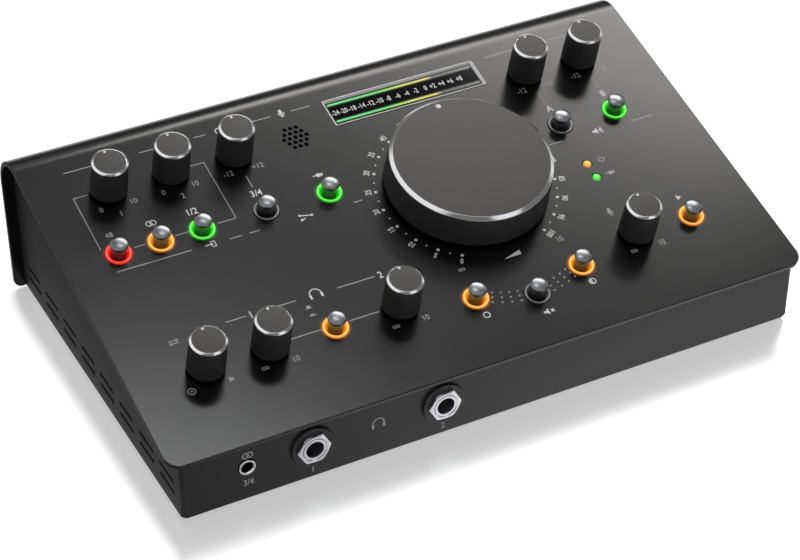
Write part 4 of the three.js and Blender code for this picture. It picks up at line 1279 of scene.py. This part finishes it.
def makeCombo(node):
    local = flap.at(*rearAt(node))
    width, height, radius = rear["comboFlange"]
    bore, insert = rear["jackBore"], rear["insert"]
    face = rear["comboSheet"] + 0.1
    sunk, depth, floor = face - rear["sunk"], rear["insertDepth"], rear["insertFloor"]
    plate = framedRing(width, height, radius, [
        (0.0, 0.1), (0.0, face - 0.35), (0.1, face - 0.12), (0.35, face), (1.2, face), (1.2, 0.1),
    ])
    # the web leads from the flange's rectangle to the round shell: a direction over the greater of
    # its shares of the half sides
    toward = circle(1.0, 112)
    halfSides = np.array([width, height]) / 2 - rear["flangeBand"]
    square = toward / (np.abs(toward) / halfSides).max(1, keepdims=True)
    shell, barrel = toward * rear["shell"], toward * rear["barrel"]
    web = layered([
        (square, 0.1), (square, face - 0.06), (shell * 1.06, face - 0.06), (shell, face - 0.4),
        (shell, face - 12.0), (shell * 1.15, face - 12.6), (barrel, -4.0), (barrel, 0.1),
    ], closed=True)
    makePiece(node + "_flange", [plate, web], local, "socket_plastic", "blackPlastic", replaces=node)
    core = turned([
        [0, -depth], [insert, -depth], [insert, sunk], [bore + 0.8, sunk], [bore, sunk - 0.6],
        [bore, -floor], [0, -floor],
    ], 56, 0.3, 3)
    makePiece(node + "_insert", core, local, "socket_plastic", "blackPlastic")
    low, high = sunk - 0.1, sunk + 0.06
    hole = lathe([[0.62, low], [1.25, low], [1.25, high], [0.62, high]], 20, closed=True)
    contacts = [moved(hole, *place) for place in arcLine(rear["contactRing"], 90, 330, 2)]
    makePiece(node + "_contacts", contacts, local, "socket_metal", "goldContact")
    x, y = (np.array([width, height]) / 2 - rear["screwInset"]).tolist()
    latch = prism(roundedRectangle(*rear["latch"], 0.6, 4), face - 0.06, face + 0.5)
    latch = moved(latch, 0, height / 2 - rear["latchInset"])
    makePiece(node + "_latch", latch, local, "socket_metal", "nickel")
    head = screwBody(*rear["comboScrew"])
    screws = [moved(head, *place, face) for place in ((-x, y), (x, -y))]
    makePiece(node + "_screws", screws, local, "socket_metal", "nickel", sharp=50.0)


def makeOutput(node):
    local = flap.at(*rearAt(node))
    rises = (-rear["outputPitch"] / 2, rear["outputPitch"] / 2)
    nuts = [moved(nutBody(0.1, 2.4), 0, y, turn=twist) for y, twist in zip(rises, rear["nutTwists"])]
    makePiece(node + "_nuts", nuts, local, "socket_metal", "nickel", sharp=20.0)
    sleeves = [moved(sleeveBody(*rear["outputSleeve"]), 0, y) for y in rises]
    makePiece(node + "_sleeves", sleeves, local, "socket_plastic", "blackPlastic", replaces=node)


def makeUsb(node):
    local = flap.at(*rearAt(node))
    (width, height), depth = rear["usbSize"], rear["usbDepth"]
    shell = framedRing(width, height, 1.2, [
        (0.0, -depth), (0.0, 0.38), (0.12, 0.5), (0.5, 0.5), (0.62, 0.4), (0.62, 1 - depth),
        (5.2, 1 - depth), (5.2, -depth),
    ])
    makePiece("usb_shell", shell, local, "socket_metal", "nickel", replaces=node, sharp=30.0)
    block = prism(roundedRectangle(width - 1.5, height - 1.5, 0.8, 4), 1 - depth, -8.5)
    tongue = prism(roundedRectangle(5.6, 3.2, 0.3, 3), -8.6, -0.6)
    makePiece("usb_insulator", [block, tongue], local, "socket_plastic", "blackPlastic")
    bar = prism(roundedRectangle(1.1, 0.24, 0.05, 2), -8.4, -1.2)
    contacts = [moved(bar, x, y) for x in (-1.6, 1.6) for y in (-1.68, 1.68)]
    makePiece("usb_contacts", contacts, local, "socket_metal", "goldContact")


def makeInlet(node):
    local = flap.at(*rearAt(node))
    outline = roundedRectangle(*rear["inletSize"], 0.8, 4)
    # the face leads from the outline to a round bore, along each outline point's own direction
    toward = around(np.arctan2(outline[:, 1], outline[:, 0]))
    bore = toward * rear["inletBore"]
    body = layered([
        (outline * 0, -14.0), (outline, -14.0), (outline, 0.35), (outline * 0.975, 0.5),
        (toward * 3.6, 0.5), (bore, 0.2), (bore, -8.5), (outline * 0, -8.5),
    ])
    makePiece("inlet_body", body, local, "socket_plastic", "blackPlastic", replaces=node)
    pin = turned([[0, -9.0], [1.0, -9.0], [1.0, -0.4], [0, 0.0]], 28, 0.35, 4)
    makePiece("inlet_pin", pin, local, "socket_metal", "chrome")


for node in comboNodes:
    makeCombo(node)
for node in outputNodes:
    makeOutput(node)
makeUsb("usb_socket")
makeInlet("power_inlet")

rearMarks = {
    "texts": dict(zip(comboNodes + outputNodes, "12AB")), "textRise": 19.0, "textHeight": 3.2,
    "signs": {"usb_socket": "plug", "power_inlet": "power"}, "signRise": 10.0,
    "screw": (2.5, 1.0, -0.4), "screwInset": 9.0, "screwHeights": (7.0, 41.0),
}


def makeRearMarks():
    marks = []
    for node, text in rearMarks["texts"].items():
        x, y = rearAt(node)
        y += rearMarks["textRise"]
        marks.append(written(text, x, y, rearMarks["textHeight"], marking["boldness"]))
    for node, sign in rearMarks["signs"].items():
        x, y = rearAt(node)
        marks.append(drawnSign(sign, x, y + rearMarks["signRise"]))
    makePiece("rear_printing", marks, flap, "cover_finish", "printInk")
    half, head = coverHalf - rearMarks["screwInset"], screwBody(*rearMarks["screw"])
    screws = [moved(head, x, y) for x in (-half, half) for y in rearMarks["screwHeights"]]
    makePiece("flap_screws", screws, flap, "socket_metal", "darkSteel", sharp=50.0)


makeRearMarks()
print("rear sockets made")

# Feet and screws underneath
underside = {
    "inset": 16.0, "foot": 7.0, "rearGap": 1.9, "screw": (2.2, 0.5, -0.3), "screwInset": 8.0,
    "screwRows": (40.0, 100.0),
}


def makeUnderside():
    rim, inset, edge = underside["foot"], underside["inset"], underside["screwInset"]
    foot = turned(
        [[0, -footHeight], [rim - 0.8, -footHeight], [rim, -0.1], [rim, 0.05], [0, 0.05]], 48, 0.3, 3,
    )
    left, right, rearY = trayLow[0] / mm, trayHigh[0] / mm, trayHigh[1] / mm - underside["rearGap"]
    feet = [
        moved(foot, x, y, floorZ) for x in (left + inset, right - inset)
        for y in (frontY + inset, rearY - inset)
    ]
    makePiece("rubber_feet", feet, level, "tray_finish", "footRubber")
    below = Plane([0, 0, floorZ * mm], [1, 0, 0], [0, -1, 0])
    head = screwBody(*underside["screw"])
    screws = [
        moved(head, x, -frontY - row) for x in (left + edge, right - edge)
        for row in underside["screwRows"]
    ]
    makePiece("floor_screws", screws, below, "socket_metal", "darkSteel", sharp=50.0)


makeUnderside()

# Camera at the photograph's angle
view = {
    "place": (-0.34168, -0.64845, 0.55775), "forward": (0.37279, 0.70896, -0.59867),
    "right": (0.88631, -0.46308, 0.00352), "lens": 109.98, "sensor": 36.0, "nearClip": 0.05,
}


def addCamera():
    camera = linked("camera", bpy.data.cameras.new("camera"))
    camera.data.lens, camera.data.sensor_width = view["lens"], view["sensor"]
    camera.data.sensor_fit = "HORIZONTAL"
    camera.data.clip_start = view["nearClip"]
    forward = Vector(view["forward"]).normalized()
    right = Vector(view["right"])
    right = (right - forward * right.dot(forward)).normalized()
    turn = Matrix([right, right.cross(forward), -forward]).transposed()
    camera.matrix_world = Matrix.Translation(view["place"]) @ turn.to_4x4()
    scene.camera = camera


addCamera()

# Studio: pale floor, white surround with a dim side in front, and soft boxes
studio = {
    "floorReach": 6.0, "floorColour": (0.93, 0.935, 0.932, 1.0), "mirrorColour": (0.97, 1.0, 0.985, 1.0),
    "floorMirror": 0.5, "floorMirrorRoughness": 0.3, "mirrorReach": (0.011, 0.025),
    "mirrorFade": (0.45, 1.05), "floorShare": 0.6, "floorGlow": 1.6, "reflectedFloor": (0.02, 1.25),
    "reflectedReach": (-0.22, 0.04), "leftLevel": 0.3, "rightLevel": 0.66, "levelReach": (-0.8, 0.8),
    "dimSide": ((0.35, -0.937, 0.0), 0.15, 0.45), "dimSideTop": (0.72, 0.86), "dimming": 0.82,
    "gap": ((0.38, -0.76, 0.53), 0.955, 0.985), "dimRear": ((0.37, 0.93, 0.0), 0.5, 0.8),
    "dimRearTop": (0.45, 0.6), "rearLevel": 0.15, "dimAbove": ((0.354, 0.354, 0.866), 0.85, 0.95),
    "aboveLevel": 0.4,
}
softBoxes = {  # degrees from the rear towards the right and up from the floor, then metres
    "rearBox": {
        "turn": 41, "rise": 47, "distance": 1.6, "size": (0.86, 0.4), "radiance": 9.2,
        "tint": (1, 0.985, 0.97),
    },
    "topBox": {
        "turn": 44, "rise": 74, "distance": 1.5, "size": (0.32, 0.2), "radiance": 8.5,
        "tint": (0.97, 0.985, 1),
    },
}


def makeFloor():
    reach = studio["floorReach"]
    mesh = bpy.data.meshes.new("floor")
    corners = [(x * reach, y * reach, 0) for x, y in ((-1, -1), (1, -1), (1, 1), (-1, 1))]
    mesh.from_pydata(corners, [], [(0, 1, 2, 3)])
    finish = newFinish("floorSheet")
    matt = finish.node("ShaderNodeBsdfDiffuse", {}, {"Color": studio["floorColour"]})
    mirror = {"Color": studio["mirrorColour"], "Roughness": studio["floorMirrorRoughness"]}
    mirror = finish.node("ShaderNodeBsdfGlossy", {}, mirror)
    share = finish.plainSight() * studio["floorShare"]
    lit = finish.mixedShader(share, matt, finish.emission(studio["floorGlow"]))
    # reflections see a floor that is dim on the left and bright on the right
    place = finish.node("ShaderNodeTexCoord", out="Object")
    across, lengthwise = finish.part(place, "X"), finish.part(place, "Y")
    dull, bright = studio["reflectedFloor"]
    reflected = dull + finish.between(across, *studio["reflectedReach"]) * (bright - dull)
    lit = finish.mixedShader(finish.ray("Glossy"), lit, finish.emission(reflected))
    # the mirror image fades with the distance from the footprint's edges
    middle, half = (trayLow + trayHigh) / 2, (trayHigh - trayLow) / 2
    beside, before = (
        ((value - float(middle[axis])).size() - float(half[axis])) / studio["mirrorReach"][axis]
        for axis, value in enumerate((across, lengthwise))
    )
    near = 1 - finish.between(beside.larger(before), *studio["mirrorFade"])
    polish = finish.ray("Camera") * near * studio["floorMirror"]
    mesh.materials.append(finish.surface(finish.mixedShader(polish, lit, mirror)))
    return linked("floor", mesh)


def addSurround():
    # each patch of the surround is bright or dim in reflections: its rise about one direction
    world = bpy.data.worlds.new("surround")
    scene.world = world
    sky = Finish(world)
    toward = sky.node("ShaderNodeTexCoord", out="Generated")
    upward = sky.part(toward, "Z")
    dim, gap, low, above = (
        sky.between(sky.along(toward, direction), *reach)
        for direction, *reach in (studio[key] for key in ("dimSide", "gap", "dimRear", "dimAbove"))
    )
    dim = dim * (1 - sky.between(upward, *studio["dimSideTop"])) * (1 - gap)
    low = low * (1 - sky.between(upward, *studio["dimRearTop"]))
    mirrored = 1 - dim * studio["dimming"] - low * (1 - studio["rearLevel"])
    mirrored = mirrored - above * (1 - studio["aboveLevel"])
    right = sky.between(sky.part(toward, "X"), *studio["levelReach"])
    spread = studio["leftLevel"] + right * (studio["rightLevel"] - studio["leftLevel"])
    plain, glossy = sky.plainSight(), sky.ray("Glossy")
    strength = plain + glossy * mirrored + (1 - plain) * (1 - glossy) * spread
    sky.surface(sky.node("ShaderNodeBackground", {}, {"Color": white, "Strength": strength}))


def addSoftBox(name, box):
    # power in watts = radiance times pi times the area
    lamp = bpy.data.lights.new(name, "AREA")
    lamp.shape = "RECTANGLE"
    lamp.size, lamp.size_y = box["size"]
    lamp.energy = box["radiance"] * math.pi * box["size"][0] * box["size"][1]
    lamp.color = box["tint"]
    turn, rise = math.radians(box["turn"]), math.radians(box["rise"])
    toward = Vector((math.sin(turn) * math.cos(rise), math.cos(turn) * math.cos(rise), math.sin(rise)))
    holder = linked(name, lamp)
    holder.location = toward * box["distance"]
    holder.rotation_euler = toward.to_track_quat("Z", "Y").to_euler()


makeFloor()
addSurround()
for name, box in softBoxes.items():
    addSoftBox(name, box)
scene.view_settings.view_transform = "Standard"
print("studio made")
